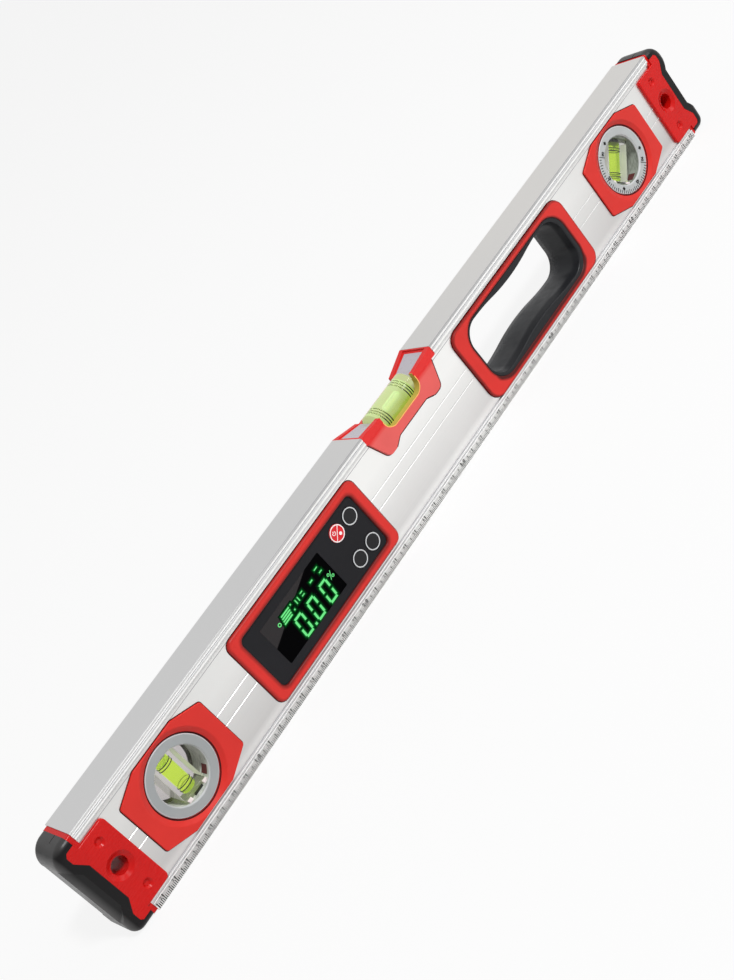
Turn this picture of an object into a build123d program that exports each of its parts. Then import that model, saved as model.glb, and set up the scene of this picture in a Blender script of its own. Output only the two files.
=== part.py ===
from build123d import *
import os

# Driving dimensions in millimetres. X runs along the level, the front faces -Y, Z is up.
LENGTH = 600.0
WIDTH = 27.0
HEIGHT = 63.0
BEAM_LENGTH = 569.0
BEAM_END = BEAM_LENGTH / 2
MID = HEIGHT / 2
FACE = WIDTH / 2

# Beam section
RAIL_HEIGHT = 5.0
STEP_HEIGHT = 1.3
STEP = 12.5
WEB = 11.5
WEB_WALL = 1.6
PLATE_WALL = 2.2
WEB_GROOVE_OFFSET = 3.6

# Stations along the beam
PLUMB_X = -229.4
DISPLAY_X = -112.6
TOP_VIAL_X = -1.6
HANDLE_X = 105.3
ANGLE_X = 225.3
HANG_X = 280.5

# End caps and bumpers
TONGUE_X = 269.0
TONGUE_LOW = 6.5
TONGUE_HIGH = 54.7
COLLAR_END = 287.2
COLLAR_SINK_Y = 0.8
COLLAR_SINK_Z = 0.6
HANG_R = 4.7
DISH_RIM_R = 7.4
BOSS_R = 6.8
BUMPER_TOP_R = 10.0
BUMPER_LOW_R = 6.0
BUMPER_ROLL_R = 4.6

# Round vial units
VIAL_Z = 31.2
FRAME_HALF_X = 32.0
FRAME_HALF_Z = 23.7
FRAME_FLAT = 14.9
FRAME_SIDE = 16.8
FRAME_FACE = 12.7
DISH_R = 24.0
SLEEVE_R = 22.2
BORE_R = 20.9
LIP_R = 18.5
RING_FACE = 11.4
RING_BACK = 9.3
RING_R = 20.6
RING_EYE_R = 15.0
HUB_R = 18.1
HUB_BORE_R = 16.2
BLOCK_WIDTH = 15.6
BLOCK_DEPTH = 14.6
BLOCK_HALF = 13.8
BLOCK_FOOT = 8.9
VIAL_R = 4.4
DIAL_ANGLE = 45.0

# Top vial; the lower plate and the window sit a little left of the vial
TOP_VIAL_Z = 52.7
TOP_VIAL_R = 8.8
TOP_VIAL_HALF = 16.9
TOP_BORE_R = 6.0
HOLDER_HALF = 34.4
HOLDER_CORE_HALF = 27.0
HOLDER_LOW = 45.7
CRADLE_LOW = 42.4
HOLDER_PLATE_U = -1.4
TAB_LOW = 41.9
WINDOW_HALF = 16.5
WINDOW_SILL = 51.2
RAMP_OUT = (HOLDER_HALF - 0.9, 61.9)
RAMP_IN = (17.3, 57.5)

# Display
BEZEL = (113.4, 47.0, 5.0)
BEZEL_SLEEVE = (107.0, 41.6, 3.6)
PANEL = (98.7, 36.6, 3.5)
PANEL_FACE = 12.2
PANEL_BACK = 10.7
WINDOW = (52.3, 25.8, 0.8)
WINDOW_X = -124.3
WINDOW_Z = 31.1
BUTTON_R = 4.9
BUTTONS = {
    "power_button": (-82.7, 41.0),
    "mode_button": (-70.7, 41.0),
    "zero_button": (-82.7, 21.0),
    "hold_button": (-70.7, 21.0),
}
DOOR = (53.4, 26.4, 2.0)
BAY = (52.0, 25.0, 1.5)
SCREWS = [(DISPLAY_X + dx, MID + dz) for dx in (-44, 44) for dz in (-13, 13)]

# Hand hole
HANDLE = (120.6, 49.0, 8.0)
HANDLE_Z = 30.9
HANDLE_SLEEVE = (114.2, 44.2, 8.0)
HANDLE_EYE = (103.2, 41.2, 13.0)
HANDLE_EYE_X = 106.1
HANDLE_EYE_Z = 31.2
GRIP_HOLE = (97.4, 35.6, 11.0)
GRIP_SWELL = 2.7
GRIP_TAPER = (1.0, 5.0)

os.makedirs("parts", exist_ok=True)


def save(shape, name):
    shape.label = name
    export_step(shape, f"parts/{name}.step")


def slab(sketch, y0, y1):
    """Sketch drawn in X and Z, extruded from depth y0 to depth y1."""
    return extrude(Plane.XZ.offset(-y1) * sketch, amount=y1 - y0)


def bar(sketch, x0, x1):
    """Sketch drawn in Y and Z, extruded along X."""
    return extrude(Plane.YZ.offset(x0) * sketch, amount=x1 - x0)


def disc(r, x, z, y0, y1):
    return Pos(x, (y0 + y1) / 2, z) * Rot(90, 0, 0) * Cylinder(r, y1 - y0)


def rod(r, y, z, x0, x1):
    return Pos((x0 + x1) / 2, y, z) * Rot(0, 90, 0) * Cylinder(r, x1 - x0)


def block(x0, x1, y0, y1, z0, z1):
    return Pos((x0 + x1) / 2, (y0 + y1) / 2, (z0 + z1) / 2) * Box(x1 - x0, y1 - y0, z1 - z0)


def polygon(points):
    return make_face(Polyline(*points, close=True))


def rounded(size, x=0.0, z=MID):
    return Pos(x, z) * RectangleRounded(*size)


def grown(size, by):
    return (size[0] + 2 * by, size[1] + 2 * by, size[2] + by)


def rear_of(shape):
    return mirror(shape, about=Plane.XZ)


def left_of(shape):
    return mirror(shape, about=Plane.YZ)


def edges_at_depth(shape, y):
    return shape.edges().filter_by_position(Axis.Y, y - 0.01, y + 0.01)


def beam_section():
    """Half outline from the base up, mirrored, with the hollow taken out."""
    top = HEIGHT - RAIL_HEIGHT
    low_groove = MID - WEB_GROOVE_OFFSET
    high_groove = MID + WEB_GROOVE_OFFSET
    half = [
        (0, 0), (FACE, 0), (FACE, RAIL_HEIGHT), (STEP, RAIL_HEIGHT),
        (STEP, RAIL_HEIGHT + STEP_HEIGHT), (WEB, RAIL_HEIGHT + STEP_HEIGHT),
        (WEB, low_groove - 0.35), (WEB - 0.4, low_groove), (WEB, low_groove + 0.35),
        (WEB, high_groove - 0.35), (WEB - 0.4, high_groove), (WEB, high_groove + 0.35),
        (WEB, top - STEP_HEIGHT), (STEP, top - STEP_HEIGHT), (STEP, top), (FACE, top),
        (FACE, top + 2.1), (FACE - 0.4, top + 2.6), (FACE, top + 3.1), (FACE, HEIGHT), (0, HEIGHT),
    ]
    outline = polygon(half + [(-y, z) for y, z in reversed(half[1:-1])])
    corners = outline.vertices().filter_by(lambda v: abs(abs(v.X) - FACE) < 0.01)
    outline = fillet(corners.filter_by(lambda v: v.Y > HEIGHT - 0.01), 0.9)
    corners = outline.vertices().filter_by(lambda v: abs(abs(v.X) - FACE) < 0.01)
    outline = fillet(corners.filter_by(lambda v: v.Y < 0.01), 0.5)
    hollow = (2 * (WEB - WEB_WALL), HEIGHT - 2 * PLATE_WALL, 1.5)
    return outline - rounded(hollow)


def make_beam():
    """Extrusion with the holes for the units, the notch for the top vial and slots for the cap's bosses."""
    body = bar(beam_section(), -BEAM_END, BEAM_END)
    for x in (PLUMB_X, ANGLE_X):
        body -= disc(SLEEVE_R + 0.2, x, VIAL_Z, -FACE, FACE)
    body -= slab(rounded(grown(BEZEL_SLEEVE, 0.2), DISPLAY_X), -FACE, FACE)
    body -= slab(rounded(grown(HANDLE_SLEEVE, 0.2), HANDLE_X, HANDLE_Z), -FACE, FACE)
    notch = block(-HOLDER_HALF - 0.1, HOLDER_HALF + 0.1, -20, 20, 56.6, 70)
    notch += block(-HOLDER_CORE_HALF, HOLDER_CORE_HALF, -20, 20, HOLDER_LOW - 0.1, 57)
    body -= Pos(TOP_VIAL_X, 0, 0) * notch
    slot_r = BOSS_R + 0.2
    slot = disc(slot_r, HANG_X, MID, -20, 20)
    slot += block(HANG_X, BEAM_END + 1, -20, 20, MID - slot_r, MID + slot_r)
    return body - slot - left_of(slot)


def ear_sketch():
    """Outline of the cap's ears, which the bumper's pocket follows."""
    root = COLLAR_END - 0.6
    face = polygon([(root, 4.4), (292.4, 4.4), (293.6, 6.0), (293.6, 11.0), (289.3, 18.0),
                    (289.3, 45.0), (293.6, 52.0), (293.6, 56.4), (292.0, 58.2), (root, 58.2)])
    return fillet(face.vertices().filter_by(lambda v: v.X > 288), 1.1)


def make_end_cap():
    """Collar over the beam's end, tongue front and rear, tube round the hanging hole, tabs in the hollow."""
    face = FACE - 0.1
    root = COLLAR_END
    outline = Pos((TONGUE_X + root) / 2, (TONGUE_LOW + TONGUE_HIGH) / 2)
    outline *= Rectangle(root - TONGUE_X, TONGUE_HIGH - TONGUE_LOW)
    outline = fillet(outline.vertices().filter_by(lambda v: v.X < TONGUE_X + 1), 2.6)
    tongue = slab(outline, -face, -WEB)
    tongue = fillet(edges_at_depth(tongue, -face).filter_by(lambda e: e.center().X < root - 0.1), 0.7)
    collar = RectangleRounded(WIDTH - 2 * COLLAR_SINK_Y, HEIGHT - 2 * COLLAR_SINK_Z, 1.2)
    body = bar(Pos(0, MID) * collar, BEAM_END, COLLAR_END) + tongue + rear_of(tongue)
    body += slab(ear_sketch(), -face, face)
    for z in (PLATE_WALL + 0.1, HEIGHT - PLATE_WALL - 2.7):
        body += block(262.0, BEAM_END + 0.5, -8.2, 8.2, z, z + 2.6)
    body += disc(BOSS_R, HANG_X, MID, -WEB - 0.5, WEB + 0.5)
    dish = Pos(HANG_X, -face, MID) * Rot(90, 0, 0) * Cone(HANG_R + 0.3, 2 * DISH_RIM_R - HANG_R - 0.3, 1.8)
    body -= disc(HANG_R, HANG_X, MID, -20, 20) + dish + rear_of(dish)
    for z in (47.8, 14.0):
        dimple = Pos(278.5, -face, z) * Rot(90, 0, 0) * Cone(1.5, 4.1, 1.2)
        dimple += disc(1.5, 278.5, z, -FACE, -12.4)
        body -= dimple + rear_of(dimple)
    return body


def make_bumper():
    """Rubber end rounded in side view and rolled over all its edges, pocketed for the ears, scooped."""
    tip = LENGTH / 2
    side = polygon([(COLLAR_END, 0), (tip, 0), (tip, HEIGHT), (COLLAR_END, HEIGHT)])
    side = fillet(side.vertices().filter_by(lambda v: v.X > tip - 0.1 and v.Y > MID), BUMPER_TOP_R)
    side = fillet(side.vertices().filter_by(lambda v: v.X > tip - 0.1 and v.Y < 0.1), BUMPER_LOW_R)
    body = slab(side, -FACE, FACE)
    rolled = edges_at_depth(body, -FACE) + edges_at_depth(body, FACE)
    body = fillet(rolled.filter_by(lambda e: e.center().X > COLLAR_END + 0.1), BUMPER_ROLL_R)
    body -= slab(ear_sketch(), -20, 20)
    wedge = extrude(polygon([(300.5, -6.6), (300.5, -15), (292.9, -15)]), amount=HEIGHT)
    reach = fillet(polygon([(302, 7.2), (302, 57.0), (293.8, 44.0), (293.8, 19.8)]).vertices(), 1.5)
    reach = slab(reach, -20, 20)
    scoop = wedge & reach
    body -= scoop + rear_of(scoop)
    return body - block(COLLAR_END - 1, 291.8, -2.6, -2.0, HEIGHT - 0.7, HEIGHT + 1)


def make_frame(x):
    """Eight-sided frame on the web with a dished front, and a sleeve whose lip keeps the ring."""
    a = FRAME_HALF_X
    b = FRAME_HALF_Z
    quarter = [(a, FRAME_SIDE), (FRAME_FLAT, b)]
    upper = quarter + [(-u, v) for u, v in reversed(quarter)]
    outline = fillet(polygon(upper + [(u, -v) for u, v in reversed(upper)]).vertices(), 1.8)
    plate = slab(Pos(x, VIAL_Z) * outline, -FRAME_FACE, -WEB)
    plate = fillet(edges_at_depth(plate, -FRAME_FACE), 0.45)
    body = plate + disc(SLEEVE_R, x, VIAL_Z, -WEB, -0.1)
    lip = RING_BACK - 0.3
    body -= disc(BORE_R, x, VIAL_Z, -20, -lip) + disc(BORE_R, x, VIAL_Z, -lip + 2.0, 0)
    body -= disc(LIP_R, x, VIAL_Z, -20, 0)
    depth = FRAME_FACE - RING_FACE
    flare = (DISH_R - BORE_R) / depth
    dish = Cone(BORE_R, DISH_R + flare, depth + 1.0)
    return body - Pos(x, -RING_FACE - (depth + 1.0) / 2, VIAL_Z) * Rot(90, 0, 0) * dish


def in_unit(shape, x, angle):
    """Shape drawn about the origin, turned and set into the round unit at x."""
    return Pos(x, 0, VIAL_Z) * Rot(0, angle, 0) * shape


def make_ring():
    """Grey ring with a hub behind it; two chord seats in the hub hold the ends of the vial block."""
    profile = polygon([
        (RING_EYE_R, -RING_FACE + 0.9), (RING_EYE_R + 0.6, -RING_FACE + 0.1), (RING_R - 0.4, -RING_FACE),
        (RING_R, -RING_FACE + 0.4), (RING_R, -RING_BACK), (HUB_R, -RING_BACK), (HUB_R, -0.1),
        (HUB_BORE_R, -0.1), (HUB_BORE_R, -RING_BACK), (RING_EYE_R, -RING_BACK - 0.4),
    ])
    seat = Circle(HUB_BORE_R + 0.1) - Rectangle(40, 2 * BLOCK_HALF)
    return revolve(profile, Axis.Y) + slab(seat, -RING_BACK, -0.1)


def make_vial_block():
    """Clear block bored for the vial, on a round foot that closes the rear hub between its two seats."""
    body = Box(BLOCK_WIDTH, BLOCK_DEPTH, 2 * BLOCK_HALF)
    body = chamfer(body.edges().filter_by(Axis.Z).filter_by(lambda e: e.center().Y < 0), 0.4)
    foot = Circle(HUB_BORE_R - 0.1) & Rectangle(40, 2 * BLOCK_HALF)
    body += slab(foot, BLOCK_DEPTH / 2, BLOCK_FOOT)
    return body - Pos(0, 0, 1.1) * Cylinder(VIAL_R, 2 * BLOCK_HALF - 2.2)


def make_liquid():
    """Liquid column that ends under the bubble in a hollow meniscus."""
    low = -BLOCK_HALF + 2.25
    column = Pos(0, 0, (low + 8.0) / 2) * Cylinder(VIAL_R - 0.05, 8.0 - low)
    return column - Pos(0, 0, 11.4) * Sphere(5.2)


def make_plug():
    return Pos(0, 0, BLOCK_HALF - 1.05) * Cylinder(VIAL_R - 0.05, 2.0)


def both_ways(right):
    """Closed outline from its right half and the mirror image of that half."""
    return polygon(right + [(-u, z) for u, z in reversed(right)])


def holder_plate_sketch():
    """Lower plate on the web: slanted sides and two rounded tabs."""
    outline = both_ways([(32.2, 57.2), (26.1, TAB_LOW), (19.6, TAB_LOW), (13.6, 44.9)])
    return fillet(outline.vertices().filter_by(lambda v: v.Y < 56), 4.0)


def make_top_holder():
    """Saddle in the beam's notch: front wall with a window, cradle and ramps by the vial, low rear wall."""
    face = FACE - 0.2
    plate = slab(Pos(HOLDER_PLATE_U, 0) * holder_plate_sketch(), -face, -WEB)
    plate = fillet(edges_at_depth(plate, -face).filter_by(lambda e: e.center().Z < 56.5), 0.5)
    a = HOLDER_HALF
    c = HOLDER_CORE_HALF - 0.1
    front = both_ways([(a, 57.2), (a, 62.9), (RAMP_IN[0], 61.3)])
    shoulder = [(c, 56.7), (a, 56.7), (a, 62.9), (RAMP_OUT[0], 62.9)]
    core = both_ways([(c, HOLDER_LOW), *shoulder, RAMP_OUT, RAMP_IN])
    rear = both_ways([(a, 57.2), (a, 62.9), (RAMP_IN[0], RAMP_IN[1] + 0.3)])
    neck = slab(both_ways([(c, HOLDER_LOW), (c, 57.3)]), -WEB, -9.8)
    body = plate + slab(front, -FACE + 0.3, -9.8) + slab(core, -9.8, 9.8) + slab(rear, 9.8, FACE - 0.3)
    body += rear_of(plate) + neck + rear_of(neck) + block(-19, 19, -9.7, 9.7, CRADLE_LOW, HOLDER_LOW + 1)
    window = both_ways([(WINDOW_HALF, WINDOW_SILL), (WINDOW_HALF, 80)])
    window = fillet(window.vertices().filter_by(lambda v: v.Y < 60), 6.0)
    body -= slab(Pos(HOLDER_PLATE_U, 0) * window, -20, 0)
    body -= block(-RAMP_IN[0], RAMP_IN[0], 0, 20, 56.0, 80)
    pocket = TOP_VIAL_HALF + 0.1
    pocket_r = TOP_VIAL_R + 0.1
    body -= rod(pocket_r, 0, TOP_VIAL_Z, -pocket, pocket)
    body -= block(-pocket, pocket, -pocket_r, pocket_r, TOP_VIAL_Z, 80)
    for ramp_plate in make_ramp_plates():
        body -= ramp_plate
    return body


def make_ramp_plates():
    """Pale plates set flush in the two ramps."""
    slope = (RAMP_OUT[1] - RAMP_IN[1]) / (RAMP_OUT[0] - RAMP_IN[0])
    ends = [(u, RAMP_IN[1] + slope * (u - RAMP_IN[0])) for u in (RAMP_IN[0], RAMP_OUT[0] - 1.3)]
    right = slab(polygon(ends + [(u, z - 1.0) for u, z in reversed(ends)]), -8.4, 8.2)
    return [left_of(right), right]


def make_top_vial():
    """Clear cylinder bored from one end, the liquid with a long bubble left out of it, and the plug."""
    body = rod(TOP_VIAL_R, 0, TOP_VIAL_Z, -TOP_VIAL_HALF, TOP_VIAL_HALF)
    body = chamfer(body.edges().filter_by(GeomType.CIRCLE), 0.5)
    body -= rod(TOP_BORE_R, 0, TOP_VIAL_Z, -TOP_VIAL_HALF + 2.0, TOP_VIAL_HALF + 1)
    liquid = rod(TOP_BORE_R - 0.05, 0, TOP_VIAL_Z, -TOP_VIAL_HALF + 2.05, TOP_VIAL_HALF - 3.4)
    bubble_z = TOP_VIAL_Z + TOP_BORE_R - 1.0
    bubble = rod(2.7, 0, bubble_z, -4.5, 4.5)
    for u in (-4.5, 4.5):
        bubble += Pos(u, 0, bubble_z) * Sphere(2.7)
    plug = rod(TOP_BORE_R - 0.05, 0, TOP_VIAL_Z, TOP_VIAL_HALF - 3.3, TOP_VIAL_HALF)
    return [body, liquid - bubble, plug]


def make_handle_frame():
    eye = rounded(HANDLE_EYE, HANDLE_EYE_X, HANDLE_EYE_Z)
    flange = slab(rounded(HANDLE, HANDLE_X, HANDLE_Z) - eye, -FACE + 0.1, -WEB)
    flange = fillet(edges_at_depth(flange, -FACE + 0.1), 0.9)
    return flange + slab(rounded(HANDLE_SLEEVE, HANDLE_X, HANDLE_Z) - eye, -WEB, -0.1)


def grip_hole_sketch():
    """Rounded hole whose long sides swell inwards, each side three arcs that run into one another."""
    half_x = GRIP_HOLE[0] / 2
    half_z = GRIP_HOLE[1] / 2
    r = GRIP_HOLE[2]
    k = r * (1 - 0.5 ** 0.5)
    flat = half_x - r
    bend = (flat / 2, half_z - GRIP_SWELL / 2)
    crest = ThreePointArc((-bend[0], bend[1]), (0, half_z - GRIP_SWELL), bend)
    run = TangentArc((flat, half_z), bend, tangent=(-1, 0))
    corner = ThreePointArc((flat, half_z), (half_x - k, half_z - k), (half_x, half_z - r))
    side = Line((half_x, half_z - r), (half_x, -half_z + r))
    right = Curve() + [run, corner, mirror(run, Plane.XZ), mirror(corner, Plane.XZ), side]
    left = mirror(right, Plane.YZ)
    return make_face(Curve() + [crest, mirror(crest, Plane.XZ), right, left])


def make_grip():
    """Sleeve with the swelling hole; at both ends the wall widens over a taper and rolls over the rim."""
    body = slab(rounded(grown(HANDLE_EYE, -0.1), HANDLE_EYE_X, HANDLE_EYE_Z), -FACE + 0.5, FACE - 0.5)
    body -= slab(Pos(HANDLE_X, MID) * grip_hole_sketch(), -20, 20)
    for end in (0, -1):
        face = body.faces().sort_by(Axis.Y)[end]
        body = chamfer(face.inner_wires()[0].edges(), *GRIP_TAPER, reference=face)
    ends = body.faces().sort_by(Axis.Y)
    body = fillet(ends[0].inner_wires()[0].edges() + ends[-1].inner_wires()[0].edges(), 1.1)
    depth = FACE - 0.5 - GRIP_TAPER[1]
    return fillet(edges_at_depth(body, -depth) + edges_at_depth(body, depth), 8.0)


def make_bezel():
    flange = slab(rounded(BEZEL, DISPLAY_X), -FACE + 0.1, -WEB)
    flange = fillet(edges_at_depth(flange, -FACE + 0.1), 1.7)
    body = flange + slab(rounded(BEZEL_SLEEVE, DISPLAY_X), -WEB, -8.0)
    body -= slab(rounded(PANEL, DISPLAY_X), -20, -PANEL_BACK)
    body = fillet(edges_at_depth(body, -FACE + 0.1).filter_by(
        lambda e: abs(e.center().X - DISPLAY_X) < 50 and abs(e.center().Z - MID) < 19), 1.1)
    return body - slab(rounded(grown(PANEL, -1.2), DISPLAY_X), -20, 0)


def make_panel():
    body = slab(rounded(grown(PANEL, -0.1), DISPLAY_X), -PANEL_FACE, -PANEL_BACK)
    body -= slab(rounded(WINDOW, WINDOW_X, WINDOW_Z), -20, 0)
    for x, z in BUTTONS.values():
        body -= disc(BUTTON_R + 0.3, x, z, -20, 0)
    return body


def make_window():
    lens = slab(rounded(grown(WINDOW, -0.1), WINDOW_X, WINDOW_Z), -PANEL_FACE + 0.1, -PANEL_BACK)
    return lens + slab(rounded(grown(WINDOW, 1.2), WINDOW_X, WINDOW_Z), -PANEL_BACK, -9.7)


def make_button(x, z):
    """Cap with a rounded rim, and a flange that keeps it behind the panel."""
    cap = disc(BUTTON_R, x, z, -PANEL_FACE - 0.4, -10.5)
    cap = fillet(edges_at_depth(cap, -PANEL_FACE - 0.4), 0.4)
    return cap + disc(5.5, x, z, -10.5, -9.9)


def make_board():
    return slab(rounded((94.0, 32.0, 2.0), DISPLAY_X), -5.5, -3.9)


def make_switches():
    bodies = []
    for x, z in BUTTONS.values():
        bodies.append(block(x - 3, x + 3, -8.6, -5.5, z - 3, z + 3) + disc(1.75, x, z, -9.2, -8.6))
    return Compound(children=bodies)


def make_housing():
    """Tray for the board at the front, battery bay and screw posts at the rear."""
    body = slab(rounded(grown(BEZEL_SLEEVE, -0.3), DISPLAY_X), -8.0, 9.6)
    body -= slab(rounded(grown(BEZEL_SLEEVE, -1.9), DISPLAY_X), -9, -2.3)
    rear = rounded(grown(BEZEL_SLEEVE, -1.9), DISPLAY_X) - rounded(grown(BAY, 1.6), DISPLAY_X)
    body -= slab(rear, -0.7, 10)
    body -= slab(rounded(BAY, DISPLAY_X), -0.7, 10)
    for x, z in SCREWS:
        body += disc(3.0, x, z, -1.0, 9.6) - disc(1.1, x, z, 2.0, 10)
        body += block(x - 2, x + 2, -3.9, -2.0, z - 2, z + 2)
    return body


def make_rear_cover():
    """Cover over the rear opening with a rim in the sleeve, the battery opening and sunk screw holes."""
    body = slab(rounded(BEZEL, DISPLAY_X), WEB, FRAME_FACE)
    body = fillet(edges_at_depth(body, FRAME_FACE), 0.6)
    body += slab(rounded(BEZEL_SLEEVE, DISPLAY_X) - rounded(grown(BEZEL_SLEEVE, -1.6), DISPLAY_X), 9.6, WEB)
    body += slab(rounded(grown(BAY, 1.6), DISPLAY_X), 9.6, WEB)
    for x, z in SCREWS:
        body += disc(3.4, x, z, 9.6, WEB)
    body -= slab(rounded(BAY, DISPLAY_X), 0, 20)
    body -= slab(rounded(grown(DOOR, 0.3), DISPLAY_X), 11.2, 20)
    for x, z in SCREWS:
        body -= disc(1.3, x, z, 9, 20) + disc(2.5, x, z, 11.2, 20)
    return body


def make_battery_door():
    body = slab(rounded(DOOR, DISPLAY_X), 11.2, FRAME_FACE)
    body = fillet(edges_at_depth(body, FRAME_FACE), 0.4)
    for k in range(4):
        x = DISPLAY_X + 15.0 + 2.0 * k
        body -= block(x, x + 1.0, FRAME_FACE - 0.5, 20, MID - 7, MID + 7)
    return body


def make_batteries():
    cells = []
    for dz, way in ((-5.6, 1), (5.6, -1)):
        cell = rod(5.2, 4.75, MID + dz, -22.0, 21.2)
        cell += rod(1.9, 4.75, MID + dz, 21.2, 22.2)
        cells.append(Pos(DISPLAY_X, 0, 0) * (cell if way > 0 else left_of(cell)))
    return Compound(children=cells)


def make_contacts():
    """A leaf and a tapered spring stand-in at each end of each cell."""
    leaves = []
    for dz, way in ((-5.6, 1), (5.6, -1)):
        z = MID + dz
        minus = block(-26.0, -25.5, 1.0, 8.5, z - 4, z + 4)
        minus += Pos(-23.75, 4.75, z) * Rot(0, 90, 0) * Cone(3.4, 2.2, 3.5)
        plus = block(25.5, 26.0, 1.0, 8.5, z - 4, z + 4) + rod(2.2, 4.75, z, 22.2, 25.5)
        for leaf in (minus, plus):
            leaves.append(Pos(DISPLAY_X, 0, 0) * (leaf if way > 0 else left_of(leaf)))
    return Compound(children=leaves)


def make_screws():
    screws = []
    for x, z in SCREWS:
        screw = disc(2.3, x, z, 11.2, 12.4) + disc(1.0, x, z, 3.0, 11.2)
        screw -= block(x - 1.5, x + 1.5, 11.9, 13, z - 0.3, z + 0.3)
        screw -= block(x - 0.3, x + 0.3, 11.9, 13, z - 1.5, z + 1.5)
        screws.append(screw)
    return Compound(children=screws)


save(make_beam(), "beam")
cap = make_end_cap()
bumper = make_bumper()
save(left_of(cap), "end_cap_left")
save(cap, "end_cap_right")
save(left_of(bumper), "end_bumper_left")
save(bumper, "end_bumper_right")

for unit, ring, x, angle in (("plumb", "ring", PLUMB_X, 0.0), ("angle", "dial", ANGLE_X, DIAL_ANGLE)):
    frame = make_frame(x)
    front_ring = in_unit(make_ring(), x, angle)
    save(frame, f"{unit}_frame_front")
    save(rear_of(frame), f"{unit}_frame_rear")
    save(front_ring, f"{unit}_{ring}_front")
    save(rear_of(front_ring), f"{unit}_{ring}_rear")
    save(in_unit(make_vial_block(), x, angle), f"{unit}_vial_block")
    save(in_unit(make_liquid(), x, angle), f"{unit}_vial_liquid")
    save(in_unit(make_plug(), x, angle), f"{unit}_vial_plug")

TOP_NAMES = ("top_vial_holder", "top_vial_block", "top_vial_liquid", "top_vial_plug", "ramp_plate_left",
             "ramp_plate_right")
for shape, name in zip([make_top_holder()] + make_top_vial() + make_ramp_plates(), TOP_NAMES):
    save(Pos(TOP_VIAL_X, 0, 0) * shape, name)

handle_frame = make_handle_frame()
save(handle_frame, "handle_frame_front")
save(rear_of(handle_frame), "handle_frame_rear")
save(make_grip(), "handle_grip")

save(make_bezel(), "display_bezel")
save(make_panel(), "display_panel")
save(make_window(), "display_window")
save(slab(rounded((52.0, 25.0, 0.5), WINDOW_X, WINDOW_Z), -9.5, -5.5), "led_display")
save(make_board(), "main_board")
save(make_switches(), "tact_switches")
save(block(-133.0, -128.0, -3.9, -2.5, 29.0, 34.0), "tilt_sensor")
save(disc(4.0, -92.6, MID, -9.0, -5.5), "buzzer")
save(make_housing(), "module_housing")
for name, (x, z) in BUTTONS.items():
    save(make_button(x, z), name)
save(make_rear_cover(), "rear_cover")
save(make_battery_door(), "battery_door")
save(make_batteries(), "batteries")
save(make_contacts(), "battery_contacts")
save(make_screws(), "cover_screws")
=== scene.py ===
from math import pi, radians

import bpy
import numpy as np
from mathutils import Euler, Matrix, Vector


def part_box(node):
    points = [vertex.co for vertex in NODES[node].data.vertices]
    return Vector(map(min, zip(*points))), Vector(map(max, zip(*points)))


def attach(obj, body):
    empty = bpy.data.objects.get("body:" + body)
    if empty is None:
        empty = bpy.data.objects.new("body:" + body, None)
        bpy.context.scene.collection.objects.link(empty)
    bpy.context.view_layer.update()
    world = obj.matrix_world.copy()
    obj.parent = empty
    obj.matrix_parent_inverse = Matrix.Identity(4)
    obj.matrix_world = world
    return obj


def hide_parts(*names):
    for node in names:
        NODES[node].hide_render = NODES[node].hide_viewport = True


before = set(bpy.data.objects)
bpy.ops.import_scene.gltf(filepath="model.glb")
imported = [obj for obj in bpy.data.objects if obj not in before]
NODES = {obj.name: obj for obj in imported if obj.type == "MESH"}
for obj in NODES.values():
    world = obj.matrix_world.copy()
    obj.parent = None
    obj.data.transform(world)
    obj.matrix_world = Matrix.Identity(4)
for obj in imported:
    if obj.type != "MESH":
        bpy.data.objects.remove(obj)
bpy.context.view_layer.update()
SCENE = bpy.context.scene

# Places read from the frame, in metres


def middle(node):
    """Centre of a node's box."""
    low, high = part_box(node)
    return np.array([(a + b) / 2 for a, b in zip(low, high)])


def front(node):
    """Depth of a node's front face."""
    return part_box(node)[0][1]


RAIL_FACE = front("beam")
PLUMB = middle("plumb_ring_front") * (1, 0, 1)
DIAL = middle("angle_dial_front") * (1, 0, 1)
DIAL_FACE = front("angle_dial_front")
TOP_VIAL = middle("top_vial_block")
WINDOW_FACE = front("display_window")
HOLDER_FACE = front("top_vial_holder")

# Sizes in metres: places across and up, halves as half width and half height
PRINT = 0.00004
FIGURE_SHARE = 0.7
# Web face depth, and width of the painted shadow lines round the plates
WEB_FACE, SHADOW_WIDTH = -0.0115, 0.0005

# Rings and frames of the round vials
RING_DEPTH, RING_BEVEL = 0.0106, 0.0012
# Painted highlights on the rings' outer and inner rims, as radius ranges and shares
RING_HIGHLIGHT_RIMS = ((0.0199, 0.0203, 0.0, 0.55), (0.0157, 0.0152, 0.0, 0.4))
# Painted shadow line round each grey ring: radius, width and the slope that lifts its outer rim
RING_SHADOW_R, RING_SHADOW_WIDTH, RING_SHADOW_SLOPE = 0.02115, 0.0006, 0.42
DISH_R, DISH_DEPTH = (0.0212, 0.0246), 0.0009
FRAME_SIDE, FRAME_FLAT, FRAME_EASE = 0.0168, 0.0149, 0.0018

# Hollows of the end caps
CAP_HOLE, CAP_HOLE_R = (0.2805, 0.0315), (0.0047, 0.0076)
CAP_DIMPLES, CAP_DIMPLE_R = ((0.2785, 0.0478), (0.2785, 0.0140)), (0.0012, 0.0027)
CAP_DISH_SHARE, CAP_DEPTH = 0.65, 0.0014

# Display and hand hole
PANEL_HALF, PANEL_EASE = (0.0494, 0.0183), 0.0035
BEZEL_HALF, BEZEL_EASE = (0.0567, 0.0235), 0.005
EYE_AT, EYE_HALF, EYE_EASE = (0.1061, 0.0312), (0.0516, 0.0206), 0.013
HANDLE_AT, HANDLE_HALF, HANDLE_EASE = (0.1053, 0.0309), (0.0603, 0.0245), 0.008

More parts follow.
